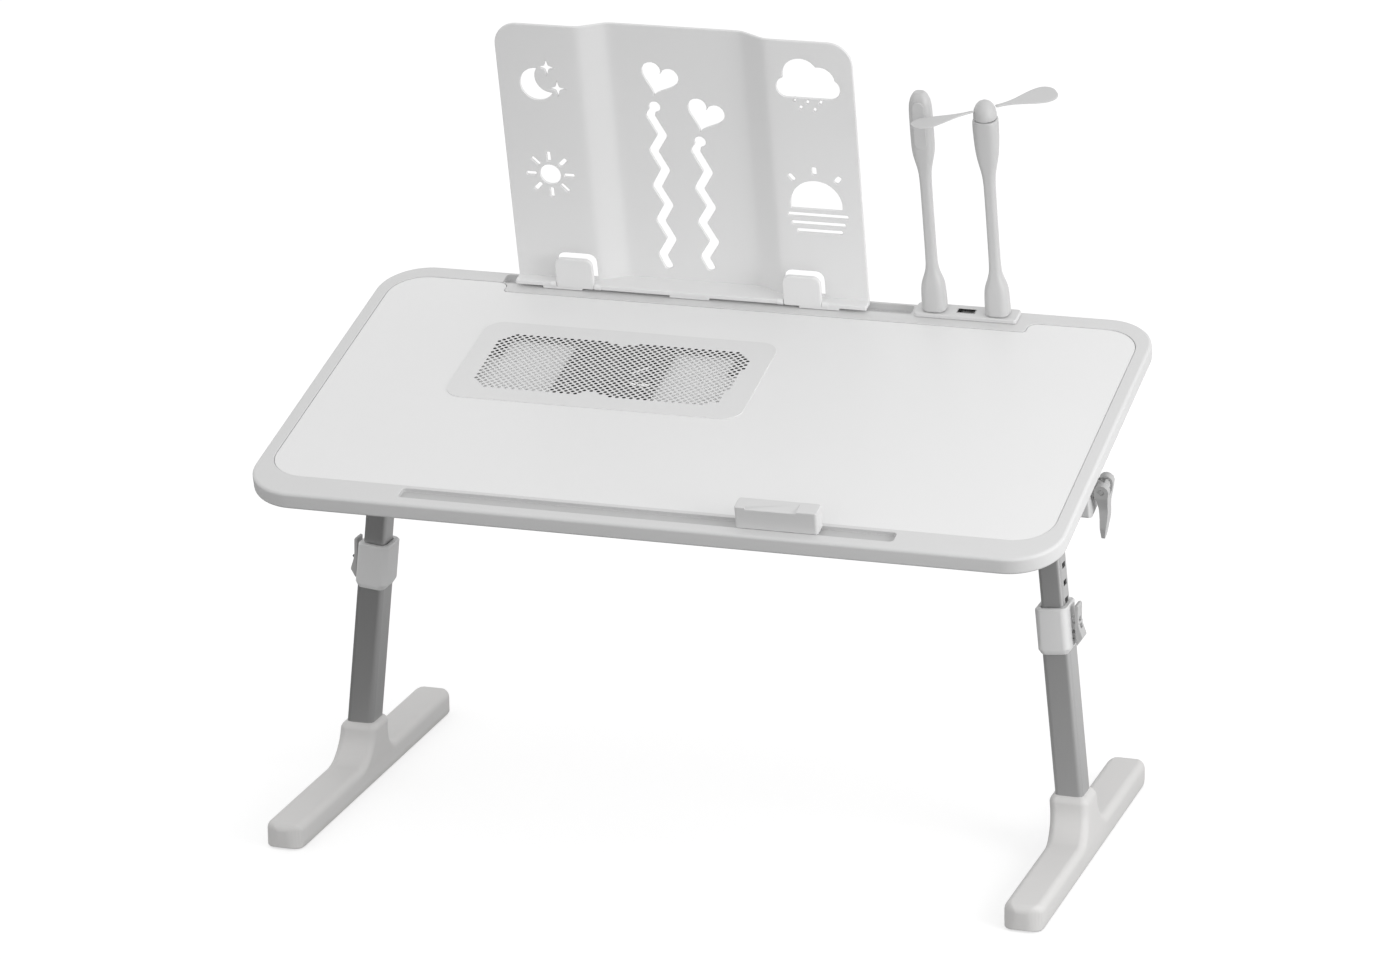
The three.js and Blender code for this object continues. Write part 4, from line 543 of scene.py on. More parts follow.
def refinedCopy(node, body, slotName, width, segments, change=None, below=None):
    # a finer copy of a small solid: flat faces joined up, hard edges eased
    bm = bmesh.new()
    bm.from_mesh(nodes[node].data)
    reshape(bm, Matrix.Scale(1000, 4))
    joinUp(bm, 0.003)
    if change is not None:
        moved = [vert for vert in bm.verts if below is None or vert.co.z < below]
        reshape(bm, change, moved)
    bmesh.ops.dissolve_limit(bm, angle_limit=math.radians(1), verts=bm.verts, edges=bm.edges)
    limit = math.radians(32)
    hard = [edge for edge in bm.edges if edge.is_manifold and abs(edge.calc_face_angle(0)) > limit]
    bmesh.ops.bevel(
        bm, geom=hard, offset=width, offset_type="OFFSET", segments=segments, profile=0.5,
        affect="EDGES", material=-1, clamp_overlap=True,
    )
    name = "".join(word.capitalize() for word in node.split("_")) + "Fine"
    name = name[0].lower() + name[1:]
    finishPiece(name, bm, Matrix.Scale(0.001, 4), body, slotName, (node,), sharp=50)


# Tabletop

topSizes = {
    "half": 300,
    "depth": 330,
    "height": 13,
    "front": 0.1,  # the wide round of the corners stays inside the solids this way
    "corner": 38,
    "edge": 2.4,
    "sideRim": 10.5,
    "frontRim": 25.5,
    "backRim": 15.5,
    "panelCorner": 28,
    "panelSink": 0.4,
    "panelThickness": 9,
    "ledge": 6,
    "landDepth": 13,
    "land": (-201, 204),
    "landCorner": (7.2, 3),
    "slot": (-181, 184, 9.8, 21.9),
    "slotDepth": 3.2,
    "slotDust": (0.88, 0.55),  # painted shade, on its floor and on its walls
    "grooveDepth": 6,
    "groove": (-206, 114, 314, 326.5),
    "hubRoom": (119.3, 192.7, 313, 325),
    "fanRoom": (-190.4, 24.4, 154.6, 251.4, 8.3),
    "roomLip": 0.5,
}


def panelCorners(grow):
    s = topSizes
    side = s["half"] - s["sideRim"] + grow
    near = s["frontRim"] - grow
    far = s["depth"] - s["backRim"] + grow
    step = far - s["landDepth"]
    left, right = s["land"][0] + grow, s["land"][1] - grow
    wide = s["panelCorner"] + grow
    outer, inner = s["landCorner"]
    return [
        (-side, near, wide), (side, near, wide), (side, far, wide), (right, far, outer),
        (right, step, inner), (left, step, inner), (left, far, outer), (-side, far, wide),
    ]


def makeTabletop():
    s = topSizes
    bm = bmesh.new()
    panelBottom = -s["panelSink"] - s["panelThickness"]
    lip = s["roomLip"]
    holes = [
        {
            "corners": panelCorners(0.3),
            "lip": lip,
            "backLip": 0.8,
            "segments": 10,
            "steps": [(0, panelBottom - 0.3 + lip), (s["ledge"], 0)],
        },
        {"corners": rectangle(*s["slot"], 3), "lip": 0.5, "floor": -s["slotDepth"], "floorRound": 0.8},
        {"corners": rectangle(*s["groove"], 2.5), "lip": 0.4, "floor": -s["grooveDepth"]},
        {"corners": rectangle(*s["hubRoom"], 1), "lip": 0.3},
    ]
    outer = rectangle(-s["half"], s["half"], s["front"], s["depth"], s["corner"])
    slab(bm, outer, -s["height"], 0, s["edge"], holes, segments=14, steps=5)
    # painted shade: faces in the slot are marked so that the rim's finish darkens them
    shadeMask = bm.faces.layers.float.new("recess")
    left, right, front, back = s["slot"]
    floorShade, wallShade = s["slotDust"]
    for face in bm.faces:
        x, y, z = face.calc_center_median()
        within = left - 0.5 < x < right + 0.5 and front - 0.5 < y < back + 0.5
        if within and -s["slotDepth"] - 0.5 < z < -0.45:
            face.normal_update()
            face[shadeMask] = floorShade if abs(face.normal.z) > 0.7 else wallShade
    finishPiece("moulded_rim", bm, onTop, "top", "frame_plastic", ("tabletop_frame",))

    bm = bmesh.new()
    room = {"corners": rectangle(*s["fanRoom"]), "lip": 0.1, "backLip": 0.3}
    slab(bm, panelCorners(0), panelBottom, -s["panelSink"], 0.5, [room], segments=10, steps=3)
    finishPiece("writing_board", bm, onTop, "top", "panel_board", ("desk_panel",))


# Perforated cover and the fan under it

ventSizes = {
    "centre": (-83, 203),
    "size": (227, 109),
    "corner": 14,
    "top": 0.2,
    "thickness": 0.34,
    "flange": -1.0,
    "edge": 0.3,
    "rimWidth": 6,
    "pitch": (5.35, 2.65),  # along a row, and from row to row
    "hole": (1.56, 1.42),  # half width and half depth
    "lip": 0.08,
    # a dark strip that paints the shade falling under the rear holes
    "gasket": (-189, 23.5, 156, 250.5),
    "shadeStripOpening": (-174, 1, 164.5, 241.5),
    "shadeStripRun": (-5.98, -4.8),
    "shadeStripStart": 216,  # it lies behind this line only
    "field": [
        (-182, 230), (-172, 241), (-95.8, 241.5), (-84.8, 233.7), (-75.5, 241.5), (5, 241),
        (14.2, 230), (9.5, 172), (-2, 164.5), (-74.3, 164.9), (-86.7, 172.2), (-95.8, 164.6),
        (-172, 164.5), (-181, 173),
    ],
}


def insideOutline(point, outline):
    inside = False
    for index, corner in enumerate(outline):
        other = outline[index - 1]
        if (corner[1] > point[1]) != (other[1] > point[1]):
            share = (point[1] - corner[1]) / (other[1] - corner[1])
            if point[0] < corner[0] + share * (other[0] - corner[0]):
                inside = not inside
    return inside


def ventCell():
    # one lozenge of the sheet with its hole
    s = ventSizes
    halfX, halfY = s["pitch"][0] / 2, s["pitch"][1]
    wide, deep = s["hole"]
    bm = bmesh.new()
    for height, lip in ((s["top"], s["lip"]), (s["top"] - s["thickness"], 0)):
        face = roundedFace(bm, [(halfX, 0), (0, halfY), (-halfX, 0), (0, -halfY)], height)
        bmesh.ops.subdivide_edges(bm, edges=face.edges[:], cuts=1)
        level = [face for face in bm.faces if abs(face.verts[0].co.z - height) < 0.001]
        face = next(face for face in level if len(face.verts) == 8)
        follow(bm, face, [(0.5, 0)])
        for vert in face.verts:
            angle = math.atan2(vert.co.y / deep, vert.co.x / wide)
            vert.co.x = (wide + lip) * math.cos(angle)
            vert.co.y = (deep + lip) * math.sin(angle)
        if lip:
            follow(bm, face, [(lip, -lip), (0, lip - s["thickness"])])
        bm.faces.remove(face)
    joinUp(bm, 0.06)
    return asMesh(bm, "ventCell")


def makeVent():
    s = ventSizes
    centreX, centreY = s["centre"]
    width, depth = s["size"]
    pitchX, pitchY = s["pitch"]
    rows, columns = int(depth / 2 / pitchY), int(width / 2 / pitchX)
    cell = ventCell()
    bm = bmesh.new()
    count = 0
    for row in range(-rows, rows + 1):
        for column in range(-columns, columns + 1):
            x = centreX + (column + (row % 2) / 2) * pitchX
            y = centreY + row * pitchY
            if insideOutline((x, y), s["field"]):
                first = len(bm.verts)
                bm.from_mesh(cell)
                bm.verts.ensure_lookup_table()
                moveBy(bm, (x, y, 0), bm.verts[first:])
                count += 1
    print("vent holes:", count)
    bpy.data.meshes.remove(cell)
    joinUp(bm, 0.02)
    border = centred(centreX, centreY, width, depth, s["corner"])
    bottom = s["top"] - s["thickness"]
    slab(bm, border, bottom, s["top"], s["edge"], foot=0.05, segments=10, steps=3)
    rim = s["rimWidth"]
    inner = centred(centreX, centreY, width - 2 * rim, depth - 2 * rim, s["corner"] - rim)
    room = [{"corners": inner, "lip": 0.1}]
    slab(bm, border, s["flange"], bottom + 0.04, 0.04, room, foot=0.2, segments=10, steps=1)
    finishPiece(
        "vent_screen", bm, onTop, "top", "frame_plastic", ("vent_cover",), sharp=50, material=ventFinish
    )


def makeShadeStrip():
    # painted shade: a dark strip on the tray floor round the fan, kept only at its back, where the rear
    # holes of the cover fall in shade
    s = ventSizes
    bm = bmesh.new()
    opening = [{"corners": rectangle(*s["shadeStripOpening"], 6), "lip": 0.2}]
    slab(bm, rectangle(*s["gasket"], 9), *s["shadeStripRun"], 0.2, opening, segments=5, steps=1)
    joinUp(bm)
    cut = bmesh.ops.bisect_plane(
        bm, geom=everything(bm), plane_co=(0, s["shadeStripStart"], 0), plane_no=(0, 1, 0), clear_inner=True
    )["geom_cut"]
    bmesh.ops.holes_fill(bm, edges=[item for item in cut if isinstance(item, bmesh.types.BMEdge)])
    finishPiece("shade_strip", bm, onTop, "top", "black_plastic", material=shadeStripFinish)


fanSizes = {
    "hub": 14,
    "hubRun": (2.8, 9.8),
    "hubWall": 1.5,
    "hubRoof": 4.2,
    "bladeReach": 34,
    "bladeRun": (3.9, 9.5),
    "bladeTurn": 57,  # degrees that one blade takes up
    "bladeSweep": 16,
    "bladeThickness": 1.1,
    "blades": 7,
}


def makeFan():
    # the hub is a cup drawn upside down; one blade is a bent patch, then copied round
    s = fanSizes
    bm = bmesh.new()
    cup = {"corners": ringOf(0, 0, s["hub"] - s["hubWall"], 32), "lip": 0.3, "floor": s["hubRoof"]}
    slab(bm, ringOf(0, 0, s["hub"], 40), *s["hubRun"], 0.8, [cup], steps=3)
    bmesh.ops.scale(bm, vec=(1, 1, -1), verts=bm.verts)
    blade = bmesh.new()
    bmesh.ops.create_grid(blade, x_segments=12, y_segments=6, size=0.5)
    high, low = s["bladeRun"]
    root = s["hub"] - 0.5
    for vert in blade.verts:
        along, out = vert.co.x + 0.5, vert.co.y + 0.5
        radius = root + out * (s["bladeReach"] - root)
        angle = math.radians((along - 0.5) * s["bladeTurn"] + out * s["bladeSweep"])
        drop = high + (low - high) * (along - 0.09 * math.sin(2 * math.pi * along))
        vert.co = (radius * math.cos(angle), radius * math.sin(angle), -drop)
    bmesh.ops.recalc_face_normals(blade, faces=blade.faces)
    bmesh.ops.solidify(blade, geom=blade.faces[:], thickness=s["bladeThickness"])
    more = s["blades"] - 1
    bmesh.ops.spin(
        blade, geom=everything(blade), axis=(0, 0, 1), angle=2 * math.pi * more / s["blades"],
        steps=more, use_duplicate=True,
    )
    takeIn(bm, blade)
    moveBy(bm, (*ventSizes["centre"], 0))
    finishPiece("cooling_rotor", bm, onTop, "cooler_fan", "black_plastic", ("cooler_rotor",), sharp=40)


# Book stand, drawn flat: x along it, y up it, and the front face uppermost

standSizes = {
    "left": -193.5,
    "right": 81,
    "bottom": 2,
    "top": 215.85,
    "corner": 18,
    "sheet": 2.6,
    "edge": 0.9,
    "lip": 0.45,
    "front": 319,
    "recess": 10.3,
    "folds": ((-128.5, -109), (14.3, -4.7)),
    "foldRound": 3.2,
    "foldCuts": (-8, -5.5, -3.8, -2.4, -1.2, 0, 1.2, 2.4, 3.8, 5.5, 8),
    "ledgeFront": 309.8,
    "ledgeHeight": 3.5,
    "clipCentres": (-146, 32.1),
    "clipWidth": 29.6,
    "clipThickness": 4,
    "clipTop": 26.5,
    "clipCorner": 6,
    "pivot": (311.5, 3.75),
    "clipPin": (1.1, 39),
    "lugs": (-156.5, -56.5, 44.5),
    "lugHalf": 15.5,
    "keel": (316, 323),
    "keelRun": (-5.5, 3.5),
}
cutOuts = {
    "hearts": [(-71.5, 173.1), (-38.1, 145.6)],
    "heartWidth": 28.8,
    "heartTilt": -19,
    "strings": [
        [
            (-76.9, 149.3), (-81, 142.4), (-72.6, 126.2), (-80.8, 113.1), (-72.8, 97.4), (-80.7, 83.4),
            (-72.7, 68.1), (-80.4, 54.9), (-72.6, 39.5), (-81.1, 25.7), (-76.2, 14.4),
        ],
        [
            (-43.9, 122.8), (-48.2, 115.4), (-39.4, 97.9), (-47.6, 84.3), (-39.4, 68.7), (-47.8, 55.5),
            (-39.3, 39.6), (-47.9, 26.3), (-43.1, 15.5),
        ],
    ],
    "stringWidth": 6.5,
    "knotRadius": 4.4,
    "moon": (-163.4, 167.1, 13.2),
    "bite": (13, 12.8, 29),
    "stars": [(-154.9, 181.2, 6.7), (-147.8, 164.2, 6.5)],
    "sun": (-160.2, 92.4, 8.1),
    "sunRays": (10.9, 8, 3.1, 8),
    "cloud": [(30, 178.1, 8.1), (41.2, 187.9, 13.9), (55, 183.8, 11.9), (61.9, 178.5, 8.4)],
    "rain": [(34.4, 166.6), (44.2, 165.4), (54.2, 165.8), (38.8, 160.8), (49.4, 159.6)],
    "rainBar": (3.4, 1.9, 62),
    "dusk": (45.9, 82.6, 19.8, 79),
    "duskRays": (24.8, 6.4, 3.8, (51, 90, 129)),
    "duskLines": [(23.2, 69.8, 73.9), (25.6, 67.2, 67), (29.3, 64.6, 60.7)],
    "duskLine": 3.3,
}


def heartOutline(x, y, width, slope):
    made = []
    turn = Matrix.Rotation(math.radians(slope), 2)
    for index in range(40):
        t = 2 * math.pi * (index + 0.5) / 40
        up = 13 * math.cos(t) - 5 * math.cos(2 * t) - 2 * math.cos(3 * t) - math.cos(4 * t)
        point = turn @ (Vector((16 * math.sin(t) ** 3, up)) * width / 32)
        made.append((x + point.x, y + point.y))
    return made[::-1]


def stringOutline(points, width):
    # the two sides of a zigzag band, from its first bend down
    half = width / 2
    left, right = [], []
    for index in range(1, len(points)):
        here = Vector(points[index])
        before = (here - Vector(points[index - 1])).normalized()
        last = index == len(points) - 1
        after = before if last else (Vector(points[index + 1]) - here).normalized()
        side = (before.orthogonal() + after.orthogonal()).normalized()
        reach = half / max(0.55, side.dot(before.orthogonal()))
        for edge, sign in ((left, 1), (right, -1)):
            outer = before.cross(after) * sign < 0
            bend = 0.75 if last else 1.1 if outer else 0.5
            edge.append((*(here + side * reach * sign), half * bend))
    return left, right


def cloudOutline(lobes):
    # from the right lobe to the left, each one up to where it meets the next
    angle = -20
    made = arcPoints(*lobes[-1], -90, angle, 7)
    for lobe, other in zip(lobes[::-1], [*lobes[-2::-1], None]):
        end = 270
        if other:
            way = Vector(other[:2]) - Vector(lobe[:2])
            cosine = (lobe[2] ** 2 + way.length**2 - other[2] ** 2) / (2 * lobe[2] * way.length)
            end = math.degrees(math.atan2(*way.yx) - math.acos(cosine)) % 360
        made += arcPoints(*lobe, angle, end, max(3, int((end - angle) / 9)))[1:]
        if other:
            angle = math.degrees(math.atan2(*(Vector(made[-1]) - Vector(other[:2])).yx))
    return made


def standHoles():
    s, c = standSizes, cutOuts
    holes = [heartOutline(x, y, c["heartWidth"], c["heartTilt"]) for x, y in c["hearts"]]
    for points in c["strings"]:
        left, right = stringOutline(points, c["stringWidth"])
        knot = Vector(points[0])
        middle = math.degrees(math.atan2(*(Vector(points[1]) - knot).yx))
        gape = math.degrees(math.asin(c["stringWidth"] * 0.38 / c["knotRadius"]))
        loop = arcPoints(*knot, c["knotRadius"], middle - gape + 360, middle + gape, 16)
        holes.append(loop + left + right[::-1])
    x, y, radius = c["moon"]
    shift, biteRadius, way = c["bite"]
    reach = (radius**2 - biteRadius**2 + shift**2) / (2 * shift)
    outer = math.degrees(math.acos(reach / radius))
    inner = math.degrees(math.acos((shift - reach) / biteRadius))
    bite = (x + shift * math.cos(math.radians(way)), y + shift * math.sin(math.radians(way)))
    outside = arcPoints(x, y, radius, way + outer, way + 360 - outer, 28)
    inside = arcPoints(*bite, biteRadius, way + 180 + inner, way + 180 - inner, 20)
    holes.append(outside[:-1] + inside[:-1])
    for x, y, size in c["stars"]:
        tips = arcPoints(x, y, size, 90, 450, 8)
        dents = arcPoints(x, y, size * 0.32, 90, 450, 8)
        holes.append([(dents if index % 2 else tips)[index] for index in range(8)])
    x, y, radius = c["sun"]
    holes.append(ringOf(x, y, radius, 32))
    start, length, width, count = c["sunRays"]
    holes += [bar(x, y, 360 * index / count, start, length, width) for index in range(count)]
    holes.append(cloudOutline(c["cloud"]))
    length, width, slope = c["rainBar"]
    holes += [bar(x, y, slope, 0, length, width) for x, y in c["rain"]]
    x, y, radius, base = c["dusk"]
    low = math.degrees(math.asin((base - y) / radius))
    holes.append(arcPoints(x, y, radius, low, 180 - low, 28))
    start, length, width, slopes = c["duskRays"]
    holes += [bar(x, y, slope, start, length, width) for slope in slopes]
    half = s["clipWidth"] / 2 + 0.6
    for centre in s["clipCentres"]:
        left, right = centre - half + 0.1, centre + half + 0.1
        holes.append(rectangle(left, right, 7.5, s["clipTop"] + 0.5, 1, 6.5))
    half = c["duskLine"] / 2
    for left, right, height in c["duskLines"]:
        holes.append(rectangle(left, right, height - half, height + half, 1.3))
    return holes


def recessAt(x):
    # how far the sheet stands back here, with soft folds
    s = standSizes
    soft = s["foldRound"]

    def above(distance):
        return (distance + math.sqrt(distance * distance + soft * soft)) / 2

    down, up = ((above(x - start) - above(x - end)) / (end - start) for start, end in s["folds"])
    return s["recess"] * (down - up)


def makeStand():
    s = standSizes
    bm = bmesh.new()
    outline = rectangle(s["left"], s["right"], s["bottom"], s["top"], 0.5, s["corner"])
    holes = []
    for corners in standHoles():
        lip = s["lip"] if len(corners) > 4 else 0.3
        holes.append({"corners": corners, "lip": lip, "segments": 4})
    slab(bm, outline, 0, s["sheet"], s["edge"], holes, segments=10, steps=3)
    for fold in s["folds"]:
        for middle in fold:
            for shift in s["foldCuts"]:
                cutAcross(bm, (middle + shift, 0, 0), (1, 0, 0))
    standUp(bm, s["front"] + s["sheet"])
    for vert in bm.verts:
        vert.co.y += recessAt(vert.co.x)
    addLedge(bm)
    finishPiece("stand_sheet", bm, onStand, "stand", "stand_plastic", ("book_stand",), sharp=50)


def addLedge(target):
    s = standSizes
    pivotY, pivotZ = s["pivot"]
    half = s["clipWidth"] / 2 + 0.3
    front, far = s["ledgeFront"], pivotY + s["clipThickness"] / 2 + 0.3
    corners = [(s["left"], front, 0.8)]
    for centre in s["clipCentres"]:
        near, past = centre - half, centre + half
        corners += [(near, front, 0.6), (near, far, 0.3), (past, far, 0.3), (past, front, 0.6)]
    back = s["front"] + s["sheet"] / 2
    deep = back + s["recess"]
    (a, b), (d, c) = s["folds"]
    corners += [
        (s["right"], front, 0.8), (s["right"], back), (d, back), (c, deep), (b, deep), (a, back),
        (s["left"], back),
    ]
    bm = bmesh.new()
    slab(bm, corners, s["bottom"], s["bottom"] + s["ledgeHeight"], 0.6, segments=3, steps=3)
    for centre in s["lugs"]:
        lug = rectangle(centre - s["lugHalf"], centre + s["lugHalf"], front, front + 4, 0.6)
        slab(bm, lug, 0.3, s["bottom"] + 1, 0.3, segments=2, steps=2)
    keel = rectangle(s["left"] + 3.5, s["right"] - 3.5, *s["keel"], 1)
    slab(bm, keel, *s["keelRun"], 0.5, segments=3, steps=2)
    for centre in s["clipCentres"]:
        for side in (-1, 1):
            addPin(bm, (centre + side * (half + 2.3), pivotY, pivotZ), 2.5, 4.6, 24)
    takeIn(target, bm)


def makeClip(centre, name):
    s = standSizes
    pivotY, pivotZ = s["pivot"]
    half = s["clipWidth"] / 2
    thick = s["clipThickness"]
    bm = bmesh.new()
    corners = rectangle(centre - half, centre + half, pivotZ - 2, s["clipTop"], 1.8, s["clipCorner"])
    slab(bm, corners, 0, thick, 1.0, segments=8, steps=4)
    standUp(bm, pivotY + thick / 2)
    addPin(bm, (centre, pivotY, pivotZ), *s["clipPin"], 20)
    finishPiece(
        f"clip_flap_{name}", bm, onStand, f"clip_{name}", "stand_plastic", (f"page_clip_{name}",), sharp=50
    )


# Laptop stopper

stopperSizes = {
    "centre": 100.5,
    "half": 30,
    "front": 9.3,
    "depth": 13.7,
    "height": 17,
    "round": 2.2,
    "edge": 0.7,
    "notch": (78.4, 115.6),  # lower stretch of the front top edge
    "notchDrop": 1.2,
    "tongue": (10.6, 21.5),
    "sink": -2.9,
}
endOn = Matrix(((0, 0, 1, 0), (1, 0, 0, 0), (0, 1, 0, 0), (0, 0, 0, 1)))  # (y, z) drawn, x runs through


def makeStopper():
    s = stopperSizes
    left, right = s["centre"] - s["half"], s["centre"] + s["half"]
    bm = bmesh.new()
    front, back = s["tongue"]
    tongue = [(front, s["sink"], 0.4), (back, s["sink"], 0.4), (back, 3), (front, 3)]
    slab(bm, tongue, left + 2, right - 2, 0.4, segments=2, steps=2)
    reshape(bm, endOn)
    body = rectangle(left, right, s["front"], s["front"] + s["depth"], s["round"])
    slab(bm, body, 0.15, s["height"], s["edge"], foot=0.3, segments=6, steps=3)
    start, end = s["notch"]
    for cutAt in (start - 0.2, start + 0.2, end - 0.2, end + 0.2):
        cutAcross(bm, (cutAt, 0, 0), (1, 0, 0))
    front = s["front"] + s["edge"] + 0.1
    upper = s["height"] - s["edge"] - 0.1
    for vert in bm.verts:
        if start < vert.co.x < end and vert.co.y < front and vert.co.z > upper:
            vert.co.z -= s["notchDrop"]
    finishPiece("stopper_block", bm, onTop, "stopper", "frame_plastic", ("laptop_stopper",))


# USB strip, lamp and fan sticks

stickSizes = {
    "y": 319,
    "lampX": 131.5,
    "fanX": 179.5,
    "portXs": (131.5, 155.5, 179.5),
    "plate": (117, 195, 310.7, 327.3),
    "plateTop": 3.5,
    "mouth": (14.3, 6.6),
    "bodyInset": 2.7,
    "bodyRun": (-8, 0.5),
    "squareness": 0.8,
    "lower": [
        (3.9, 18.4, 14.8), (4.6, 18.9, 15.2), (12, 18.7, 15.1), (20, 18.2, 14.8), (25, 17.4, 14.2),
        (29, 15.3, 12.8), (33, 12.3, 10.9), (37, 10, 9.5), (41, 8.8, 8.6), (48, 8.4, 8.3),
        (80, 8.3, 8.1), (108, 8.4, 8.2), (115, 8.9, 8.6),
    ],
    "lampHead": [
        (120, 9.7, 9.2), (125, 11.7, 10.6), (130, 14.2, 12.1), (134.5, 16, 12.9), (139, 16.8, 13.2),
        (146, 17.1, 13.3), (158, 17.1, 13.3), (169, 17, 13.2), (174.8, 16.2, 12.7), (179.2, 13.9, 11.3),
        (182.2, 10.8, 9), (184.2, 7, 6),
    ],
    "fanHead": [
        (120, 9.9, 9.5), (125, 11.6, 10.9), (131, 14.3, 12.9), (137, 16.3, 14.4), (143, 17.4, 15.2),
        (151, 18.3, 15.9), (158, 18.7, 16.5), (163, 18.7, 16.9), (165, 18.2, 16.8), (165.8, 17.2, 16.2),
    ],
    "hub": [
        (166.4, 16.6), (167, 17.2), (170.4, 16.9), (173.6, 15.5), (176.4, 13), (178.5, 9.5),
        (179.8, 5),
    ],
    "hubTop": 180.1,
    "lens": (9, 38, 178),
    "lensBehind": 5.3,
    "bladeAngle": 36,
    "bladePitch": 6.5,
    "bladeHeight": 173.4,
    "bladeThickness": 1.1,
    "bladeRows": [
        (8.3, 3.4), (12, 3.2), (16, 3.8), (21, 5.8), (26, 9), (31, 13), (36, 16.8), (41, 19.8),
        (46, 21.4), (50, 20), (53, 16.2), (54.9, 11.2), (55.8, 5.8),
    ],
}


def stickBody(sections, x, y):
    # rings of rounded squares, one above the other; the last one is closed with a small cap
    bm = bmesh.new()
    height, width, depth = sections[0]
    outline = centred(0, 0, width, depth, min(width, depth) / 2 * stickSizes["squareness"])
    rim = roundedFace(bm, outline, height, segments=4).edges[:]
    for before, after in zip(sections, sections[1:]):
        verts, rim = drawOut(bm, rim)
        bmesh.ops.scale(bm, vec=(after[1] / before[1], after[2] / before[2], 1), verts=verts)
        moveBy(bm, (0, 0, after[0] - before[0]), verts)
    top = bmesh.ops.contextual_create(bm, geom=rim)["faces"][0]
    follow(bm, top, [(sections[-1][2] * 0.22, 0.35)])
    moveBy(bm, (x, y, 0))
    return bm


def makeHub():
    s = stickSizes
    left, right, near, far = s["plate"]
    inset = s["bodyInset"]
    bm = bmesh.new()
    mouths = [centred(x, s["y"], *s["mouth"], 0.5) for x in s["portXs"]]
    holes = [{"corners": mouth, "lip": 0.25, "segments": 3} for mouth in mouths]
    slab(bm, rectangle(left, right, near, far, 2.5), 0.3, s["plateTop"], 0.9, holes, foot=0.2, segments=6)
    body = rectangle(left + inset, right - inset, near + inset, far - inset, 0.8)
    slab(bm, body, *s["bodyRun"], 0.3, holes, segments=2, steps=2)
    finishPiece("socket_strip", bm, onTop, "top", "frame_plastic", ("usb_hub_base",))


def makeSticks():
    s = stickSizes
    for name, body in (("lamp", "lamp"), ("fan", "stick_fan")):
        bm = stickBody(s["lower"] + s[f"{name}Head"], s[f"{name}X"], s["y"])
        piece = finishPiece(
            f"{name}_body", bm, onTop, body, "stick_plastic", (f"{name}_stick",), weighted=False, sharp=70
        )
        smoothed(piece)
    makeHubCap()
    width, height, top = s["lens"]
    bm = bmesh.new()
    lens = rectangle(s["lampX"] - width / 2, s["lampX"] + width / 2, top - height, top, width * 0.49)
    slab(bm, lens, 0, 1.4, 0.35, segments=8, steps=3)
    standUp(bm, s["y"] - s["lensBehind"])
    finishPiece("lamp_diffuser", bm, onTop, "lamp", "lens_plastic", ("lamp_lens",))
    for name, turn in (("back", 0), ("front", 180)):
        makeBlade(name, turn)


def makeHubCap():
    # turned round its own axis from a half profile
    s = stickSizes
    bm = bmesh.new()
    profile = [(s["hub"][0][0], 0), *s["hub"], (s["hubTop"], 0)]
    verts = [bm.verts.new((width / 2, 0, z)) for z, width in profile]
    edges = [bm.edges.new(pair) for pair in zip(verts, verts[1:])]
    bmesh.ops.spin(
        bm, geom=verts + edges, cent=(0, 0, 0), axis=(0, 0, 1), angle=2 * math.pi, steps=40, use_merge=True
    )
    moveBy(bm, (s["fanX"], s["y"], 0))
    finishPiece("spinner_cap", bm, onTop, "stick_fan_blades", "stick_plastic", ("fan_hub",), weighted=False)


def makeBlade(name, turn):
    # a thin drop: rows across the blade, pulled out along it, then given their thickness
    s = stickSizes
    rows = s["bladeRows"]
    bm = bmesh.new()
    start, width = rows[0]
    ends = [bm.verts.new((start, sign * width / 2, 0)) for sign in (-1, 1)]
    bmesh.ops.subdivide_edges(bm, edges=[bm.edges.new(ends)], cuts=3)
    line = bm.edges[:]
    for before, after in zip(rows, rows[1:]):
        verts, line = drawOut(bm, line)
        bmesh.ops.scale(bm, vec=(1, after[1] / before[1], 1), verts=verts)
        moveBy(bm, (after[0] - before[0], 0, 0), verts)
    bmesh.ops.recalc_face_normals(bm, faces=bm.faces)
    bmesh.ops.solidify(bm, geom=bm.faces[:], thickness=s["bladeThickness"])
    middle = sum(vert.co.z for vert in bm.verts) / len(bm.verts)
    at = (
        Matrix.Translation((s["fanX"], s["y"], s["bladeHeight"]))
        @ turned(s["bladeAngle"] + turn, "Z")
        @ turned(s["bladePitch"], "X")
        @ Matrix.Translation((0, 0, -middle))
    )
    reshape(bm, at)
    piece = finishPiece(
        f"soft_blade_{name}", bm, onTop, "stick_fan_blades", "soft_blade", (f"fan_blade_{name}",),
        weighted=False, sharp=100,
    )
    smoothed(piece)


# Legs, drawn for the right side: x outward, z up the leg from the tilt axis, but in the foot from the floor

legSizes = {
    "outer": (21, 24, 4),
    "outerRun": (-260, -100),
    "outerWall": 1.6,
    "footLength": 320,
    "footWidth": 29.5,
    "footHeight": 20,
    "footLift": 0.8,
    "footEnd": 11,
    "footEdge": 6,
    "footSill": 0.24,  # how far the lower long edges are rounded, as a share of the upper ones
    "turretTop": 49,
    "turretDepth": 32,
    "turretBlend": 22.4,
    "turretRound": 6.2,
    "pocketWall": 2.6,
    "pocketHeight": 12,
    "socket": (9.7, 11.2),
    "socketFloor": 24,
    "endCuts": (0.06, 0.14, 0.25, 0.38, 0.54, 0.74, 1.0),  # shares of the rounded foot end
    "blendCuts": (4, -6, -12),  # beside the end of the turret's blend
    "leanRun": 20,  # the turret's lean fades out over this length
    "collarSlim": (0.87, -0.6),  # width as a share of the solid's, and a shift outwards
    "lockSlim": {"left": (0.74, 2.7), "right": (0.86, 1.5)},
    "tail": 272,  # below this height the tilt lever grows longer
    "tailStretch": 1.2,
}
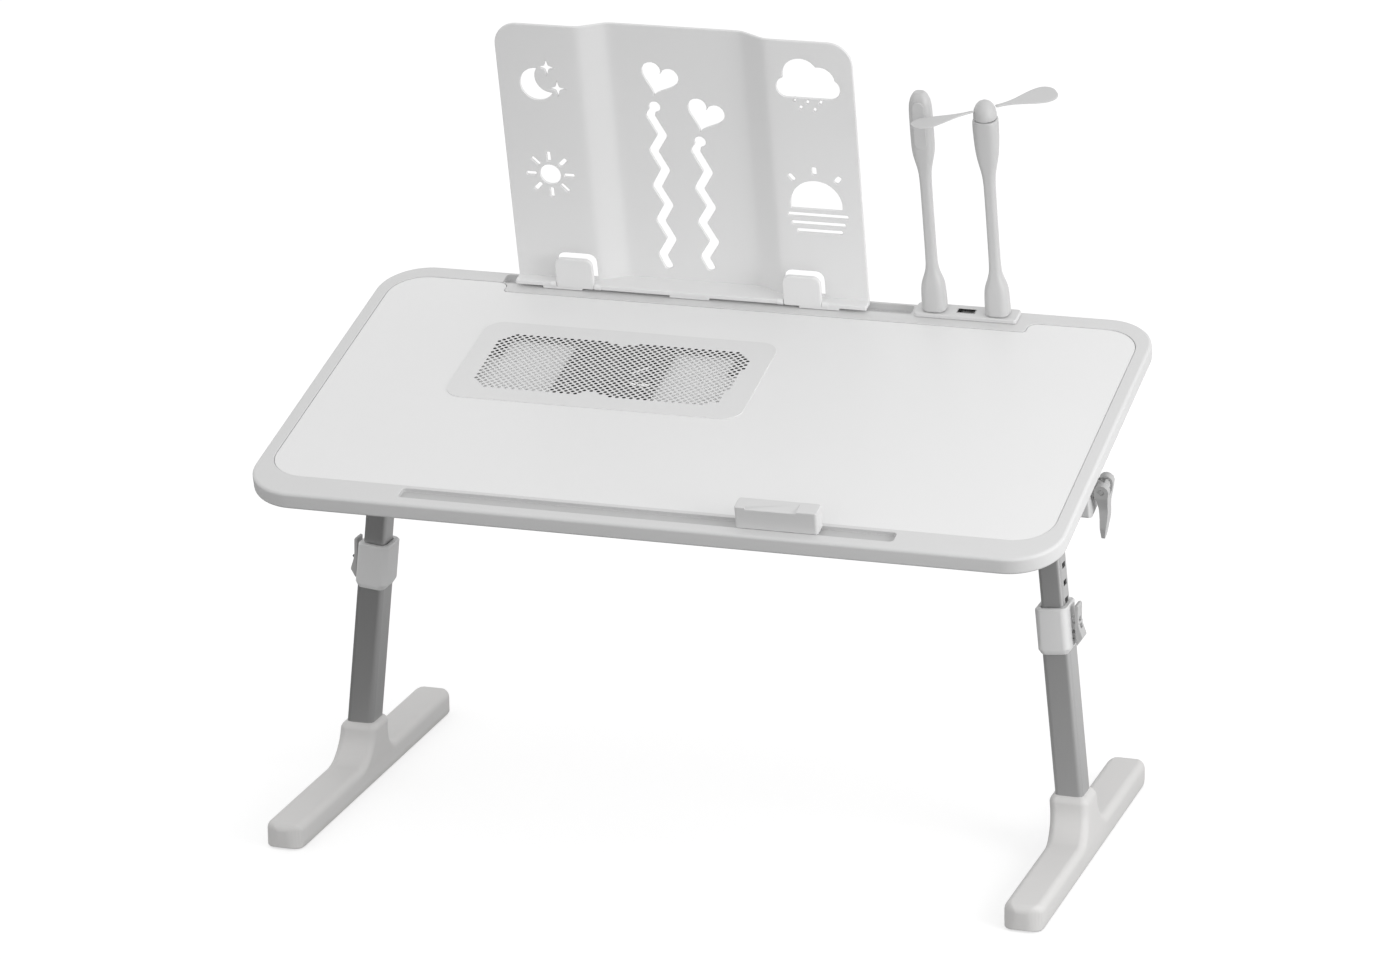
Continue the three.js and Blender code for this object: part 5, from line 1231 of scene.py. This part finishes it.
legCopies = {  # body, finish, edge round and its steps
    "inner_tube": ("upper_leg", "tube_metal", 0.15, 1),
    "collar": ("lower_leg", "joint_plastic", 0.6, 3),
    "lock_lever": ("height_lock", "lever_plastic", 0.4, 2),
    "tilt_lever": ("clamp_lever", "lever_plastic", 0.5, 3),
    "leg_head": ("upper_leg", "joint_plastic", 0.4, 2),
    "fold_knuckle": ("knuckle", "joint_plastic", 0.4, 2),
    "leg_bracket": ("top", "joint_plastic", 0.4, 2),
    "tilt_washer": ("knuckle", "lever_plastic", 0.3, 2),
    "tilt_bolt": ("knuckle", "steel", 0.25, 2),
}


def makeOuterTube(side, name):
    s = legSizes
    width, depth, radius = s["outer"]
    wall = s["outerWall"]
    bm = bmesh.new()
    outline = centred(0, 0, width, depth, radius)
    bore = centred(0, 0, width - 2 * wall, depth - 2 * wall, radius - wall)
    slab(bm, outline, *s["outerRun"], 0.3, [{"corners": bore, "lip": 0.3}], segments=8, steps=2)
    finishPiece(
        f"leg_sleeve_{name}", bm, legFrame(side), f"lower_leg_{name}", "tube_metal",
        (f"outer_tube_{name}",), side,
    )


def makeFoot(side, name):
    s = legSizes
    half = s["footLength"] / 2
    halfWidth = s["footWidth"] / 2
    turret = s["turretDepth"] / 2
    reach = turret + s["turretBlend"]
    lift, base, edge, end = s["footLift"], s["footHeight"], s["footEdge"], s["footEnd"]
    corners = [
        (-half, lift, edge + 0.4), (half, lift, edge + 0.4), (half, base, edge + 0.6),
        (turret, base, s["turretBlend"]), (turret, s["turretTop"], s["turretRound"]),
        (-turret, s["turretTop"], s["turretRound"]), (-turret, base, s["turretBlend"]),
        (-half, base, edge + 0.6),
    ]
    bm = bmesh.new()
    slab(bm, corners, -halfWidth, halfWidth, edge, segments=10, steps=5)
    reshape(bm, endOn)
    cuts = [half - end * share for share in s["endCuts"]]
    for cutAt in cuts + [reach + beside for beside in s["blendCuts"]]:
        for sign in (-1, 1):
            cutAcross(bm, (0, sign * cutAt, 0), (0, 1, 0))
    for vert in bm.verts:
        if vert.co.z > lift + edge + 0.5:
            continue
        inset = halfWidth - abs(vert.co.x)
        if inset < edge + 0.1:
            vert.co.x = math.copysign(halfWidth - inset * s["footSill"], vert.co.x)
        if half - abs(vert.co.y) < edge + 0.5:
            vert.co.z = lift + (vert.co.z - lift) * s["footSill"]
    pocketFoot(bm, reach - 8, half - end)
    socketFoot(bm)
    for vert in bm.verts:
        over = max(0.0, abs(vert.co.y) - (half - end))
        vert.co.x *= (halfWidth - end + math.sqrt(max(0.0, end**2 - over * over))) / halfWidth
        near = min(1.0, max(0.0, (reach + s["blendCuts"][0] - abs(vert.co.y)) / s["leanRun"]))
        vert.co.x -= math.tan(splay) * max(0.0, vert.co.z - base / 2) * near
    finishPiece(
        f"foot_shell_{name}", bm, legFrame(side, "foot"), f"lower_leg_{name}", "foot_plastic",
        (f"foot_{name}",), side,
    )


def pocketFoot(bm, start, end):
    # an open pocket under each half of the foot
    s = legSizes
    bmesh.ops.recalc_face_normals(bm, faces=bm.faces)
    for sign in (-1, 1):
        floor = []
        for face in bm.faces:
            middle = face.calc_center_median()
            level = face.normal.z < -0.99 and abs(middle.z - s["footLift"]) < 0.05
            if level and start < sign * middle.y < end:
                floor.append(face)
        made = bmesh.ops.dissolve_faces(bm, faces=floor, use_verts=False)["region"]
        follow(bm, made[0], [(s["pocketWall"], 0), (0.4, -s["pocketHeight"])])


def socketFoot(bm):
    # the socket for the leg, sunk from the top; its walls lie inside the wall of the tube
    s = legSizes
    joinUp(bm)
    reachX, reachY = s["socket"]
    high = s["turretTop"] - 1
    for way, reach in (((1, 0, 0), reachX), ((0, 1, 0), reachY)):
        for sign in (-1, 1):
            top = [face for face in bm.faces if face.calc_center_median().z > high]
            edges = {edge for face in top for edge in face.edges}
            verts = {vert for face in top for vert in face.verts}
            cutAcross(bm, Vector(way) * sign * reach, way, [*verts, *edges, *top])
    inside = []
    for face in bm.faces:
        middle = face.calc_center_median()
        if middle.z > high and abs(middle.x) < reachX and abs(middle.y) < reachY:
            inside.append(face)
    bmesh.ops.delete(bm, geom=inside, context="FACES")
    sunk, rim = drawOut(bm, [edge for edge in bm.edges if edge.is_boundary])
    for vert in sunk:
        vert.co.z = s["socketFloor"]
    bmesh.ops.contextual_create(bm, geom=rim)


def alongLeg(side, scale, shift):
    # a change of shape across the leg, for copies that lie in millimetres
    frameHere = Matrix.Scale(1000, 4) @ legFrame(side)
    change = Matrix.Translation((side * shift, 0, 0)) @ Matrix.Diagonal((scale, 1, 1, 1))
    return frameHere @ change @ frameHere.inverted()


def makeLegs():
    s = legSizes
    up = Matrix.Translation((0, 0, s["tail"]))
    lengthen = up @ Matrix.Diagonal((1, 1, s["tailStretch"], 1)) @ up.inverted()
    for side, name in ((-1, "left"), (1, "right")):
        makeOuterTube(side, name)
        makeFoot(side, name)
        changes = {
            "collar": (alongLeg(side, *s["collarSlim"]),),
            "lock_lever": (alongLeg(side, *s["lockSlim"][name]),),
            "tilt_lever": (lengthen, s["tail"]),
        }
        for node, (body, *look) in legCopies.items():
            body = body if body == "top" else f"{body}_{name}"
            refinedCopy(f"{node}_{name}", body, *look, *changes.get(node, ()))


# Finishes of the solids that stay as they are

def dressNodes():
    for name, node in nodes.items():
        if name == "cooler_tray":
            dress = trayFinish
        elif name in ("cooler_housing", "cooler_guard"):
            dress = finishOf["black_plastic"]
        else:
            dress = finishOf["pad_rubber" if name.startswith("foot_pad") else "steel"]
        node.data.materials.clear()
        node.data.materials.append(dress)


dressNodes()
setCamera()
setLight()
addFloor()
print("camera, light and floor set")
makeTabletop()
print("tabletop made")
makeVent()
makeShadeStrip()
makeFan()
makeStand()
for centre, name in zip(standSizes["clipCentres"], ("left", "right")):
    makeClip(centre, name)
makeStopper()
print("stand, clips and stopper made")
makeHub()
makeSticks()
print("sockets and sticks made")
makeLegs()
print("legs made")
